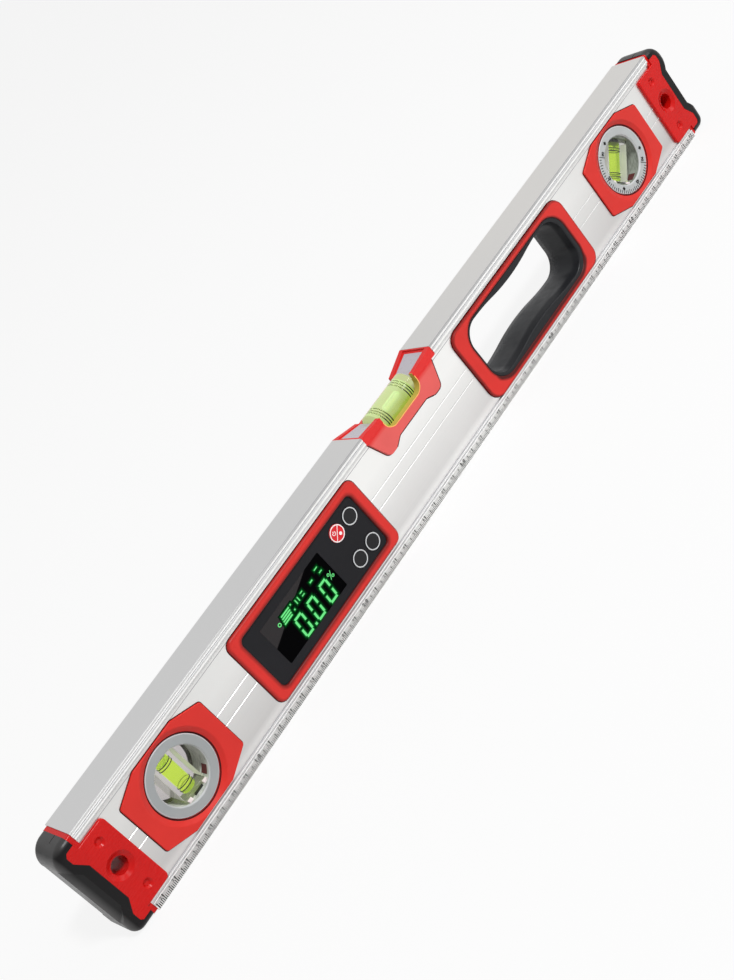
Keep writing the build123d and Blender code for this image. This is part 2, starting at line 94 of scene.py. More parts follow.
# Holder of the top vial and its window's sill
HOLDER_X = -0.0030
HOLDER_PLATE = ((0.0322, 0.0572), (0.0261, 0.0419), (0.0196, 0.0419), (0.0136, 0.0449))
HOLDER_EASE, HOLDER_CORNER, HOLDER_INSET = 0.004, 0.0002, 0.0003
SILL_AT, SILL_HALF, SILL_EASE = (-0.0030, 0.0632), (0.0165, 0.0120), 0.006
SILL_SHIFT, SILL_LOW, SILL_UP, SILL_LINE = -0.0014, 0.0512, (0.0070, 0.0085), 0.0005
SILL_SHOULDER, SILL_OUT = 0.0015, 0.0002

# Round vials: block, tube, bubble, lines, painted highlights, flanks, painted shade in a gap, and notch
BLOCK, BLOCK_EASE, FOOT_R, FOOT_BACK = (0.0156, 0.0146, 0.0138), 0.0004, 0.0161, 0.0089
TUBE_LOW, TUBE_HIGH, TUBE_EASE = -0.0118, 0.0122, 0.0012
PLUMB_TUBE_R, ANGLE_TUBE_R = 0.0044, 0.0050
BUBBLE_HALF, BUBBLE_EASE, BUBBLE_GAP, BUBBLE_UP = 0.0024, 0.0020, 0.0005, 0.0094
LINE, LINE_HEIGHT, LINE_GAP = 0.0005, 0.0002, 0.00002
LINE_UP = (-0.0089, -0.0068, 0.0066, 0.0083)
# White blocks painted as highlights on the hub's bottom, where light comes through the block
GLINT_BLOCK, GLINT_EASE = (0.0028, 0.0016, 0.0007), 0.0004
GLINT_AT = ((-0.0056, -0.0083, -0.0130), (0.0064, -0.0083, -0.0130))
FLANK, FLANK_EASE, FLANK_X = (0.0002, 0.0142, 0.0112), 0.00005, 0.0076
# Dark block painted as shade in the gap between the block's end and the hub
GAP_SHADE, GAP_SHADE_EASE, GAP_SHADE_AT = (0.0062, 0.0014, 0.0004), 0.0003, (0.0010, -0.0083, -0.0133)
NOTCH_R, NOTCH, NOTCH_FRONT, NOTCH_DEPTH = 0.01615, 0.0002, -0.0065, 0.005
PLUMB_NOTCH, DIAL_NOTCH = np.radians(((306.5, 323.5), (277.0, 294.0)))
VIAL_TURN = radians(45.0)

# Top vial: half length, radius and ease of each round piece
TOP_BARREL, TOP_TUBE, TOP_TUBE_SHIFT = (0.0169, 0.0088, 0.0008), (0.0142, 0.0060, 0.0006), -0.0008
TOP_SEAL, TOP_SEAL_SHIFT = (0.0008, 0.0082, 0.0004), -0.0159
TOP_BUBBLE_SIZE, TOP_BUBBLE_LIFT = (0.0070, 0.0020, 0.0019), (0, -0.0014, 0.0020)
TOP_LINE, TOP_LINE_UP = 0.00065, (0.0088, 0.0105, 0.0120)

# Scale on the rail, first and last stroke in millimetres
SCALE_ZERO, SCALE_FIRST, SCALE_LAST = -0.2985, 15, 582
SCALE_FOOT, STROKE_HALF, LONG_STROKE_HALF = 0.0005, 0.00025, 0.0003
STROKE, FIVE_STROKE, TEN_STROKE, HUNDRED_STROKE = 0.0023, 0.0032, 0.0041, 0.0030
DIGIT, DIGIT_SHIFT, DIGIT_UP, DIGIT_BOLD = 0.0018, -0.0017, 0.0035, 0.00003
NUMBER, NUMBER_SHIFT, NUMBER_UP, NUMBER_BOLD = 0.0021, 0.0014, 0.0036, 0.00012

# Scale on the dial, from an angle in degrees
DIAL_FIRST, DIAL_SINK = 225.0, 0.00012
DIAL_RIM, DIAL_STROKE, DIAL_LONG_STROKE, DIAL_STROKE_HALF = 0.0202, 0.0019, 0.0024, 0.00024
DIAL_END_R, DIAL_END_HALF = 0.0178, (0.0024, 0.0002)
DIAL_DIAMOND_R, DIAL_DIAMOND_HALF = 0.0173, 0.0009
DIAL_NUMBER_R, DIAL_NUMBER, DIAL_NUMBER_BOLD = 0.0169, 0.0019, 0.0001

# Lit zeros, each stroke given as shares of a zero and whether it is upright
ZERO_LEFT, ZERO_LOW = (0.1646, 0.1757, 0.1870), 0.0196
ZERO_WIDE, ZERO_TALL, ZERO_LEAN = 0.0053, 0.0115, 0.08
ZERO_STROKE_HALF, ZERO_UPRIGHT = 0.00065, 0.178
ZERO_STROKES = ((0.5, 1.0, 0), (0.5, 0.0, 0),
                (0.0, 0.757, 1), (1.0, 0.757, 1), (0.0, 0.243, 1), (1.0, 0.243, 1))
# Other lit signs
POINT_AT, POINT_HALF = (0.1730, 0.0198), 0.0007
STACK_AT, STACK_STEP, STACK_HALF = (0.1637, 0.0344), (0.0004, 0.0014), (0.0034, 0.00045)
SIGNS = ((0.1698, 0.0387, 0.0004, 0.0004), (0.1698, 0.0349, 0.0004, 0.0004), (0.1732, 0.0368, 0.0003, 0.0013),
         (0.1752, 0.0368, 0.0003, 0.0013), (0.1787, 0.0379, 0.0010, 0.0003), (0.1787, 0.0359, 0.0010, 0.0003),
         (0.1868, 0.0368, 0.0011, 0.0004), (0.1934, 0.0391, 0.0013, 0.0003), (0.1944, 0.0358, 0.0011, 0.0003))
DOT_AT, DOT_R, DOT = (0.1581, 0.0367), 0.0009, 0.0005
PERCENT_AT, PERCENT = (0.1971, 0.0294), 0.0042
GLOW, HAZE = 0.0006, 0.0013

# Marks on the buttons
BUTTON_RING_R, BUTTON_RING = 0.0045, 0.0006
SPLIT_HALF, SPLIT_TURN = (0.0042, 0.00022), radians(45)
POWER_AT, POWER_R, POWER_LINE, POWER_ARC = (-0.0015, 0.0014), 0.0010, 0.0004, (radians(130), radians(410))
STEM_AT, STEM_HALF = (-0.0015, 0.0022), (0.0002, 0.0007)
LAMP_AT, LAMP_R, LAMP = (0.0015, -0.0015), 0.0005, 0.0009


# Meshes as whole arrays: a solid is its corners and its faces


def linked(name, data):
    """Object of some data, in the scene."""
    obj = bpy.data.objects.new(name, data)
    SCENE.collection.objects.link(obj)
    return obj


def piece(name, solid, finish, body="level", smooth=False, place=None):
    """Mesh of a solid, moved by a matrix if there is one, at the origin and riding on a body."""
    verts, faces = solid
    if place is not None:
        verts = placed(verts, place)
    mesh = bpy.data.meshes.new(name)
    mesh.from_pydata(np.asarray(verts).tolist(), [], [list(map(int, f)) for f in faces])
    mesh.polygons.foreach_set("use_smooth", np.full(len(mesh.polygons), smooth))
    mesh.materials.append(finish)
    mesh.update()
    obj = linked(name, mesh)
    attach(obj, body)
    return obj


def grid_faces(n, m, wrap_n=True, wrap_m=True):
    """Quads between neighbours of an n by m grid of points, closed round either way."""
    i, j = np.meshgrid(np.arange(n if wrap_n else n - 1), np.arange(m if wrap_m else m - 1), indexing="ij")
    a = i * m + j
    b = (i + 1) % n * m + j
    c = (i + 1) % n * m + (j + 1) % m
    d = i * m + (j + 1) % m
    return np.stack([a, d, c, b], -1).reshape(-1, 4)


def placed(points, place):
    """Points moved by a four by four matrix."""
    m = np.array(place)
    return np.asarray(points) @ m[:3, :3].T + m[:3, 3]


def shifted(solid, by):
    """Solid moved along the axes."""
    return solid[0] + np.asarray(by, float), solid[1]


def in_unit(centre, turn=0.0):
    """Matrix of a vial unit: turned about the depth axis, then moved to its centre."""
    return Matrix.Translation(Vector(centre)) @ Matrix.Rotation(turn, 4, "Y")


def carried_round(profile, steps):
    """Profile of radius and height, repeated at even angles round the Z axis."""
    a = np.linspace(0, 2 * pi, steps, endpoint=False)
    r, z = np.asarray(profile, float).T
    points = np.stack([np.outer(np.cos(a), r), np.outer(np.sin(a), r), np.tile(z, (steps, 1))], -1)
    return points.reshape(-1, 3)


def turned_solid(profile, steps=64):
    """Profile of radius and height, from the lower end up, carried round the Z axis, with flat ends."""
    m = len(profile)
    wall = grid_faces(steps, m, True, False)[:, ::-1]
    ends = [list(range(0, steps * m, m))[::-1], list(range(m - 1, steps * m, m))]
    return carried_round(profile, steps), [*wall, *ends]


def hoop(r, width, height, z=0.0, steps=64):
    """Rectangle of a width along Z and a height outwards, carried round a circle about the Z axis."""
    high, low = z + width / 2, z - width / 2
    profile = [(r, high), (r + height, high), (r + height, low), (r, low)]
    return carried_round(profile, steps), grid_faces(steps, 4)


def gathered(parts):
    """Several solids as one mesh, each with its faces counted on from the last."""
    verts, faces, start = [], [], 0
    for v, f in parts:
        verts.append(np.asarray(v))
        faces += [[int(k) + start for k in face] for face in f]
        start += len(v)
    return np.concatenate(verts), faces


def bars(centre, half, turn, face, sink=0.0, rise=PRINT):
    """Thin blocks on a front face: rectangles turned in its plane, from inside it to the print's rise."""
    centre, half = np.atleast_2d(centre), np.atleast_2d(half)
    turn = np.broadcast_to(np.asarray(turn, float), (len(centre),))
    corner = np.array([(-1, -1), (1, -1), (1, 1), (-1, 1)])
    flat = corner[None] * half[:, None]
    u = flat[..., 0] * np.cos(turn)[:, None] - flat[..., 1] * np.sin(turn)[:, None] + centre[:, None, 0]
    v = flat[..., 0] * np.sin(turn)[:, None] + flat[..., 1] * np.cos(turn)[:, None] + centre[:, None, 1]
    layers = [np.stack([u, np.full_like(u, face + depth), v], -1) for depth in (-rise, sink)]
    verts = np.concatenate(layers, 1).reshape(-1, 3)
    block = np.array([(0, 1, 2, 3), (7, 6, 5, 4), (1, 0, 4, 5), (2, 1, 5, 6), (3, 2, 6, 7), (0, 3, 7, 4)])
    faces = (block[None] + 8 * np.arange(len(centre))[:, None, None]).reshape(-1, 4)
    return verts, faces


def arc_band(centre, r, width, start, end, face, sink=0.0, rise=PRINT, steps=40, slope=0.0):
    """Band of a radius and width on a front face between two angles; a slope lifts its outer rim."""
    whole = end - start > 2 * pi - 0.001
    a = np.linspace(start, end, steps, endpoint=not whole)
    lift = slope * width
    ring = np.array([(r - width / 2, -rise), (r + width / 2, -rise - lift), (r + width / 2, sink - lift),
                     (r - width / 2, sink)])
    u = np.outer(np.cos(a), ring[:, 0]) + centre[0]
    v = np.outer(np.sin(a), ring[:, 0]) + centre[1]
    verts = np.stack([u, np.tile(face + ring[:, 1], (steps, 1)), v], -1).reshape(-1, 3)
    last = 4 * (steps - 1)
    caps = [] if whole else [[3, 2, 1, 0], [last, last + 1, last + 2, last + 3]]
    return verts, [*grid_faces(steps, 4, whole, True), *caps]


def moved_out(outline, by):
    """Closed outline with every corner moved out along the normals of its two sides."""
    along = np.roll(outline, -1, 0) - outline
    normal = np.stack([along[:, 1], -along[:, 0]], -1) / np.linalg.norm(along, axis=1)[:, None]
    before = np.roll(normal, 1, 0)
    return outline + by * (normal + before) / (1 + (normal * before).sum(1))[:, None]


def outline_band(outline, width, face, sink=0.0, rise=PRINT):
    """Flat band on a front face, between a closed outline and its copy moved out."""
    outer = moved_out(outline, width)
    rings = ((outline, -rise), (outer, -rise), (outer, sink), (outline, sink))
    verts = np.stack([np.column_stack([p[:, 0], np.full(len(p), face + d), p[:, 1]]) for p, d in rings], 1)
    return verts.reshape(-1, 3), grid_faces(len(outline), 4)


def path_band(path, width, face, sink=0.0, rise=PRINT):
    """Band along an open path on a front face: one thin block from each point to the next."""
    along = np.diff(path, axis=0)
    half = np.stack([np.linalg.norm(along, axis=1) / 2, np.full(len(along), width / 2)], -1)
    return bars((path[1:] + path[:-1]) / 2, half, np.arctan2(along[:, 1], along[:, 0]), face, sink, rise)


def eased(corners, r, steps=6):
    """Closed outline through corners, each one replaced by an arc that touches both of its sides."""
    corners, r = np.asarray(corners, float), np.broadcast_to(r, len(corners))
    arcs = []
    for k, here in enumerate(corners):
        to, back = corners[(k + 1) % len(corners)] - here, corners[k - 1] - here
        to, back = to / np.linalg.norm(to), back / np.linalg.norm(back)
        half = np.arccos(np.clip(to @ back, -1, 1)) / 2
        middle_way = (to + back) / np.linalg.norm(to + back)
        centre = here + middle_way * r[k] / np.sin(half)
        sweep = np.linspace(half - pi / 2, pi / 2 - half, steps)
        side = np.sign(to[0] * back[1] - to[1] * back[0])
        across = side * np.array([middle_way[1], -middle_way[0]])
        arcs.append(centre + r[k] * (np.outer(np.cos(sweep), -middle_way) + np.outer(np.sin(sweep), across)))
    return np.concatenate(arcs)


def rectangle(low, high, r, steps=6):
    """Outline of a box seen from the front, with eased corners."""
    return eased([(low[0], low[2]), (high[0], low[2]), (high[0], high[2]), (low[0], high[2])], r, steps)


def lettering(words, places, height, face, turns=None, sink=0.0, rise=PRINT, bold=0.0):
    """Figures made meshes, bolder by an offset, each centred on its place on a front face and turned."""
    curve = bpy.data.curves.new("lettering", "FONT")
    curve.align_x, curve.align_y = "CENTER", "CENTER"
    curve.size = height / FIGURE_SHARE
    curve.resolution_u = 3
    curve.offset = bold
    curve.extrude = (rise + sink) / 2
    writer = linked("lettering", curve)
    parts = []
    for k, (word, (u, v)) in enumerate(zip(words, places)):
        curve.body = word
        bpy.context.view_layer.update()
        mesh = bpy.data.meshes.new_from_object(writer.evaluated_get(bpy.context.evaluated_depsgraph_get()))
        flat = np.empty(3 * len(mesh.vertices))
        mesh.vertices.foreach_get("co", flat)
        turn = turns[k] if turns is not None else 0.0
        stand = Matrix.Rotation(-turn, 4, "Y") @ Matrix.Rotation(pi / 2, 4, "X")
        place = Matrix.Translation((u, face + (sink - rise) / 2, v)) @ stand
        parts.append((placed(flat.reshape(-1, 3), place), [list(p.vertices) for p in mesh.polygons]))
        bpy.data.meshes.remove(mesh)
    bpy.data.objects.remove(writer)
    bpy.data.curves.remove(curve)
    return gathered(parts)


# Finishes, most colours given as screen values of 0 to 255
BLACK = (0.0, 0.0, 0.0, 1.0)
# Share of the colour left where shade is painted at edges, and depth of the grain
EDGE_SHADE, GRAIN_DEPTH = 0.12, 0.0001
UP_SHARE, REAR_SHARE = 0.88, 0.47


def feed(socket, value):
    """Links an input to another node's output, or sets it to a plain value."""
    if isinstance(value, bpy.types.NodeSocket):
        socket.id_data.links.new(value, socket)
    else:
        socket.default_value = value


def wire(target, **values):
    """Feeds the inputs of a node by their names."""
    for name, value in values.items():
        feed(target.inputs[name.replace("_", " ")], value)


def node(tree, kind, **values):
    """Adds a shader node and feeds its inputs."""
    made = tree.nodes.new("ShaderNode" + kind)
    wire(made, **values)
    return made


def tree_of(values):
    """Node tree of the sockets among some values."""
    return next(v.id_data for v in values if isinstance(v, bpy.types.NodeSocket))


def sums(operation, *values):
    """One step of arithmetic."""
    made = tree_of(values).nodes.new("ShaderNodeMath")
    made.operation = operation
    for socket, value in zip(made.inputs, values):
        feed(socket, value)
    return made.outputs[0]


def times(a, b):
    """Product of two values."""
    return sums("MULTIPLY", a, b)


def span(value, low, high, out_low=0.0, out_high=1.0):
    """Value carried from one range to another and kept within it."""
    made = node(value.id_data, "MapRange", Value=value)
    for socket, limit in zip(made.inputs[1:5], (low, high, out_low, out_high)):
        socket.default_value = limit
    return made.outputs[0]


def blend(factor, a, b):
    """Colour between two others."""
    made = tree_of((factor, a, b)).nodes.new("ShaderNodeMix")
    made.data_type = "RGBA"
    for socket, value in zip((made.inputs[0], made.inputs[6], made.inputs[7]), (factor, a, b)):
        feed(socket, value)
    return made.outputs[2]


def axes(where):
    """A place's three coordinates."""
    return node(where.id_data, "SeparateXYZ", Vector=where).outputs


def linear(r, g, b):
    """Colour from screen values of 0 to 255."""
    values = np.array([r, g, b]) / 255
    return (*np.where(values < 0.04045, values / 12.92, ((values + 0.055) / 1.055) ** 2.4), 1.0)


def shaded(colour, factor):
    """Colour made darker or paler."""
    return (*(min(1.0, c * factor) for c in colour[:3]), 1.0)


def noise(where, scale, detail=2.0, stretch=(1, 1, 1)):
    """Soft noise, finer along an axis where the stretch is larger."""
    tree = where.id_data
    if stretch != (1, 1, 1):
        where = node(tree, "Mapping", Vector=where, Scale=stretch).outputs[0]
    return node(tree, "TexNoise", Vector=where, Scale=scale, Detail=detail).outputs["Fac"]


def new_group(name, given, made):
    """Shader node group with a place and numbers going in and numbers coming out."""
    tree = bpy.data.node_groups.new(name, "ShaderNodeTree")
    tree.interface.new_socket("Vector", in_out="INPUT", socket_type="NodeSocketVector")
    for way, names in (("INPUT", given), ("OUTPUT", made)):
        for socket in names:
            tree.interface.new_socket(socket, in_out=way, socket_type="NodeSocketFloat")
    return tree, tree.nodes.new("NodeGroupInput").outputs, tree.nodes.new("NodeGroupOutput")


def use_group(group, where, **values):
    """Places a group in a material with its own values."""
    made = where.id_data.nodes.new("ShaderNodeGroup")
    made.node_tree = group
    wire(made, Vector=where, **values)
    return made.outputs


def grain_group():
    """Moulded surface: fine grain as a height, soft clouds as a shade and handling marks as a roughness."""
    tree, given, out = new_group("moulded_grain", ("Grain",), ("Height", "Shade", "Marks"))
    where = given["Vector"]
    fine = node(tree, "TexNoise", Vector=where, Scale=given["Grain"], Detail=2.0).outputs["Fac"]
    clouds = noise(where, 45.0, 3.0)
    marks = noise(where, 160.0, 4.0, (1.0, 1.0, 5.0))
    wire(out, Height=fine, Shade=span(clouds, 0.3, 0.7), Marks=span(marks, 0.35, 0.75))
    return tree


def reach_group():
    """Distance on the front from a rectangle with eased corners, or from a point, below zero inside."""
    numbers = ("Centre X", "Centre Z", "Half X", "Half Z", "Ease")
    tree, given, out = new_group("reach_from_outline", numbers, ("Reach",))
    x, _, z = axes(given["Vector"])
    over = []
    for value, way in ((x, "X"), (z, "Z")):
        off = sums("ABSOLUTE", sums("SUBTRACT", value, given[f"Centre {way}"]))
        over.append(sums("SUBTRACT", off, sums("SUBTRACT", given[f"Half {way}"], given["Ease"])))
    squares = [sums("POWER", sums("MAXIMUM", v, 0.0), 2.0) for v in over]
    outside = sums("SQRT", sums("ADD", *squares))
    inside = sums("MINIMUM", sums("MAXIMUM", *over), 0.0)
    wire(out, Reach=sums("SUBTRACT", sums("ADD", outside, inside), given["Ease"]))
    return tree


GRAIN = grain_group()
REACH = reach_group()


def reach(where, centre, half=(0.0, 0.0), ease=0.0):
    """Distance from an outline or a point on the front."""
    x, z = map(float, centre)
    return use_group(REACH, where, Centre_X=x, Centre_Z=z, Half_X=half[0], Half_Z=half[1], Ease=ease)["Reach"]


def cleared(owner):
    """Empty node tree of a material or a world."""
    owner.use_nodes = True
    owner.node_tree.nodes.clear()
    return owner.node_tree


def finish(name):
    """Empty material with its shader, and the object's coordinates."""
    made = bpy.data.materials.new(name)
    tree = cleared(made)
    shader = node(tree, "BsdfPrincipled")
    node(tree, "OutputMaterial", Surface=shader.outputs[0])
    return made, shader, node(tree, "TexCoord").outputs["Object"]


def bump(height, strength, depth):
    """Normals tipped by a height."""
    return node(height.id_data, "Bump", Strength=strength, Distance=depth, Height=height)


def moulded(name, screen, rough=(0.38, 0.5), grain=2600.0, rise=0.06, vary=0.05, specular=0.22, shade=None,
            relief=None, **plain):
    """Moulded surface: clouded colour, marks in the gloss, fine grain, painted shade at edges, soft hollows.
    """
    made, shader, where = finish(name)
    colour = linear(*screen)
    surface = use_group(GRAIN, where, Grain=grain)
    colours = blend(surface["Shade"], shaded(colour, 1 - vary), shaded(colour, 1 + vary))
    # Painted shade: darker where the shade function says
    if shade:
        colours = blend(shade(where), shaded(colour, EDGE_SHADE), colours)
    dents = bump(surface["Height"], rise, GRAIN_DEPTH)
    if relief:
        height, depth = relief(where)
        wire(dents, Normal=bump(height, 1.0, depth).outputs[0])
    wire(shader, Base_Color=colours, Roughness=span(surface["Marks"], 0, 1, *rough),
         Normal=dents.outputs[0], Specular_IOR_Level=specular, **plain)
    return made, shader, where


def plastic(*values, **more):
    """Moulded finish with nothing painted over it."""
    return moulded(*values, **more)[0]


def paint_over(shader, mask, colour):
    """Blends a colour over the one that a shader has."""
    base = shader.inputs["Base Color"].links[0].from_socket
    wire(shader, Base_Color=blend(mask, base, colour))


def ring_dish(where):
    """Hollow round the rings of both vial units, with its depth."""
    near = sums("MINIMUM", *(reach(where, (x, z)) for x, _, z in (PLUMB, DIAL)))
    return span(near, *DISH_R), DISH_DEPTH


def cap_hollows(where):
    """Dish round the hanging hole and two dimples, alike on both caps, with their depth."""
    both = where.id_data.nodes.new("ShaderNodeVectorMath")
    both.operation = "ABSOLUTE"
    feed(both.inputs[0], where)
    dish = span(reach(both.outputs[0], CAP_HOLE), *CAP_HOLE_R)
    near = sums("MINIMUM", *(reach(both.outputs[0], place) for place in CAP_DIMPLES))
    dimples = span(near, *CAP_DIMPLE_R)
    return sums("ADD", times(dish, CAP_DISH_SHARE), times(dimples, 1 - CAP_DISH_SHARE)), CAP_DEPTH


def bezel_painted_shade(where):
    """Share of the full colour under painted shade: less towards the panel and at the outer edge of the
    display's bezel.
    """
    x, _, z = middle("display_bezel")
    inner = span(reach(where, (x, z), PANEL_HALF, PANEL_EASE), 0.0002, 0.0026, 0.1, 1.0)
    outer = span(reach(where, (x, z), BEZEL_HALF, BEZEL_EASE), -0.0018, 0.0, 1.0, 0.5)
    return times(inner, outer)


def handle_painted_shade(where):
    """Share of the full colour under painted shade on the hand hole's frame: dark at both edges, most at the
    lower inner one.
    """
    lip = span(axes(where)[2], 0.014, 0.018, 0.0016, 0.0002)
    near = sums("SUBTRACT", reach(where, EYE_AT, EYE_HALF, EYE_EASE), lip)
    inner = span(near, 0.0, 0.0015, 0.0, 1.0)
    outer = span(reach(where, HANDLE_AT, HANDLE_HALF, HANDLE_EASE), -0.0015, -0.0003, 1.0, 0.3)
    return times(inner, outer)


# Painted highlight lines and painted shadow lines on the rails, steps and web grooves, by height and half
# width in millimetres
HIGHLIGHT_LINES = ((4.75, 0.22), (5.85, 0.2), (27.8, 0.14), (35.0, 0.1), (56.95, 0.3), (59.0, 0.35),
                (61.35, 0.4))
SHADOW_LINES = ((5.11, 0.1), (5.3, 0.15), (6.3, 0.1), (6.45, 0.12), (28.1, 0.1), (35.3, 0.1), (55.1, 0.2),
              (57.95, 0.22), (60.35, 0.35))


def level_lines(z, lines):
    """Mask of fine level lines, each given by its height and half width in millimetres."""
    mask = 0.0
    for height, half in lines:
        off = sums("ABSOLUTE", sums("SUBTRACT", z, height / 1000))
        mask = sums("MAXIMUM", mask, span(off, half * 0.0013, half * 0.0007))
    return mask


def aluminium():
    """Extruded metal: drawn lines along X, painted shade darker to both ends, matte painted highlight and
    shadow lines, and a matte scale strip.
    """
    made, shader, where = finish("drawn_aluminium")
    x, y, z = axes(where)
    lines = noise(where, 1.0, 3.0, (5.0, 1900.0, 1900.0))
    clouds = noise(where, 9.0, 2.0, (1.0, 1.0, 2.0))
    tone = sums("ADD", times(lines, 0.3), times(clouds, 0.7))
    # Painted highlights along the rail, step and groove edges, and painted shadow lines in their corners
    painted_highlights, dark = level_lines(z, HIGHLIGHT_LINES), level_lines(z, SHADOW_LINES)
    # corner: painted shade on the rounded top front edge; strip: the matte scale strip
    corner = times(span(y, -0.0124, -0.0128), span(z, 0.0620, 0.0623))
    strip = times(span(z, 0.0046, 0.0045), span(y, -0.0120, -0.0125))
    # Painted shade: the beam darker towards both of its ends
    left_end, right_end = span(x, -0.25, -0.06, 0.8, 1.0), span(x, 0.10, 0.20, 1.0, 0.84)
    # Painted shade: the web darker towards its foot and paler up it; the foot and the upper rail get tones of
    # their own
    metal = blend(span(z, 0.008, 0.044), linear(208, 207, 206), linear(248, 248, 246))
    web_foot, upper_rail = span(z, 0.0118, 0.0088), span(z, 0.0565, 0.0572)
    streaks = span(tone, 0.35, 0.65, 0.0, 0.3)
    for mask, colour in ((web_foot, (232, 231, 230)), (upper_rail, (226, 226, 224)),
                         (streaks, (243, 243, 241))):
        metal = blend(mask, metal, linear(*colour))
    metal = blend(times(left_end, right_end), BLACK, metal)
    # Painted light: the top paler towards the right. Painted shade on the top front edge, deeper towards the
    # right
    top = blend(span(x, -0.1, 0.15), linear(222, 222, 222), linear(233, 231, 228))
    rim = blend(span(x, -0.19, -0.09), linear(190, 190, 190), linear(154, 154, 155))
    # Scale strip: paler from its left end towards the middle as painted light, a little less at the right,
    # and darker on its upper part
    ground = blend(span(x, -0.27, -0.05), linear(225, 225, 224), linear(250, 250, 248))
    ground = blend(span(x, 0.08, 0.18), ground, linear(240, 239, 238))
    ground = blend(span(z, 0.0026, 0.0031, 1.0, 0.6), BLACK, ground)
    for mask, colour in ((span(z, 0.0626, 0.0628), top), (painted_highlights, linear(236, 236, 235)),
                         (dark, linear(176, 176, 178)), (corner, rim), (strip, ground)):
        metal = blend(mask, metal, colour)
    # The painted highlight and shadow lines, the painted shade on the top front edge and the scale strip are
    # matte
    matte_strip_and_painted_light = sums("MAXIMUM", sums("MAXIMUM", painted_highlights, strip), sums("MAXIMUM", dark, corner))
    gloss = sums("ADD", span(lines, 0.3, 0.7, 0.3, 0.36), times(strip, 0.2))
    wire(shader, Base_Color=metal, Metallic=sums("SUBTRACT", 1.0, matte_strip_and_painted_light), Roughness=gloss,
         Normal=bump(lines, 0.02, GRAIN_DEPTH).outputs[0])
    return made


def clear(name, colour, ior, shine=0.0, rim=None):
    """Clear acrylic, liquid or bubble: ratio of indices across the skin, a dye's shine as a painted glow by
    emission, an edge tint as painted shade.
    """
    made, shader, where = finish(name)
    base = blend(noise(where, 300.0), colour, shaded(colour, 0.97))
    # Painted shade: the edge tint where the skin is seen edge-on
    if rim:
        facing = node(where.id_data, "LayerWeight", Blend=0.5).outputs["Facing"]
        base = blend(span(facing, 0.15, 0.45), base, rim)
    wire(shader, Base_Color=base, Transmission_Weight=1.0, IOR=ior, Roughness=0.0,
         Emission_Color=colour, Emission_Strength=shine)
    return made


def upwards(where):
    """How far a point of the top vial lies up and to the rear of its axis."""
    _, y, z = axes(where)
    rise = times(sums("SUBTRACT", z, float(TOP_VIAL[2])), UP_SHARE)
    return sums("ADD", rise, times(y, REAR_SHARE))


def dyed_liquid(name, tint, deep, pale, shine, low, high):
    """Bright dye: lit through as a painted glow by emission, deeper towards the front and paler towards the
    top and rear as painted light.
    """
    made, shader, where = finish(name)
    uneven = times(sums("SUBTRACT", noise(where, 260.0, 3.0), 0.5), 0.003)
    # Painted light: paler up and to the rear, deeper to the front
    rear = span(sums("ADD", upwards(where), uneven), low, high)
    wire(shader, Emission_Color=blend(rear, deep, pale), Emission_Strength=shine,
         Base_Color=tint, Transmission_Weight=1.0, IOR=1.0, Roughness=0.0)
    return made


def holder_plastic():
    """Red plastic, paler on the plate below, tinted by the dye's light on the front walls of its window."""
    made, shader, where = moulded("holder_red", (214, 90, 86))
    _, y, z = axes(where)
    paint_over(shader, span(z, 0.0545, 0.0570), linear(212, 43, 41))
    within = span(reach(where, SILL_AT, SILL_HALF, SILL_EASE), 0.0005, 0.0002, 0.0, 0.85)
    behind_face = span(y, HOLDER_FACE + 0.0001, HOLDER_FACE + 0.0005)
    tinted = times(times(within, behind_face), span(y, 0.0005, 0.0))
    paint_over(shader, tinted, linear(178, 172, 70))
    return made


def vial_lines():
    """Ring lines of the top vial, dark towards the window and pale above as painted light."""
    made, shader, where = moulded("mark_olive", (26, 30, 12), (0.5, 0.6), specular=0.1)
    # Painted light: the lines paler up and to the rear
    paint_over(shader, span(upwards(where), -0.0015, 0.0030), linear(178, 194, 124))
    return made


def ring_plastic(name, face, inside, centre):
    """Moulded ring with painted highlights on the rims of its faces, and painted light and shade in a colour
    of its own, streaked, down the inside of its hub.
    """
    made, shader, where = moulded(name, face)
    depth = sums("ABSOLUTE", axes(where)[1])
    hub = span(depth, RING_DEPTH - RING_BEVEL, RING_DEPTH, 1.0, 0.0)
    r = reach(where, (centre[0], centre[2]))
    # Painted highlights on the outer and inner rims
    rims = sums("MAXIMUM", *(span(r, *rim) for rim in RING_HIGHLIGHT_RIMS))
    paint_over(shader, rims, linear(226, 226, 230))
    # Painted light and shade: the inside of the hub in a colour of its own, streaked
    streaks = noise(where, 350.0, 3.0, (1.0, 3.0, 1.0))
    deep, pale = shaded(linear(*inside), 0.6), shaded(linear(*inside), 1.15)
    paint_over(shader, hub, blend(span(streaks, 0.3, 0.7), deep, pale))
    return made


def smoked_window():
    """Dark lens with a painted reflection, a paler field above a line that rises across it, and a little dust
    in its gloss.
    """
    made, shader, where = finish("smoked_window")
    x, _, z = axes(where)
    # Painted reflection: the field above the line is paler
    left, low, width, height = -0.151, 0.0297, 0.0425, 0.0148
    line = times(sums("ADD", x, -left), height / width)
    field = span(sums("SUBTRACT", sums("SUBTRACT", z, low), line), -0.0003, 0.0003)
    lens = blend(field, linear(1, 1, 2), linear(50, 48, 49))
    dust = span(noise(where, 900.0), 0.3, 0.7, 0.12, 0.22)
    wire(shader, Base_Color=lens, Specular_IOR_Level=0.02, Roughness=dust)
    return made


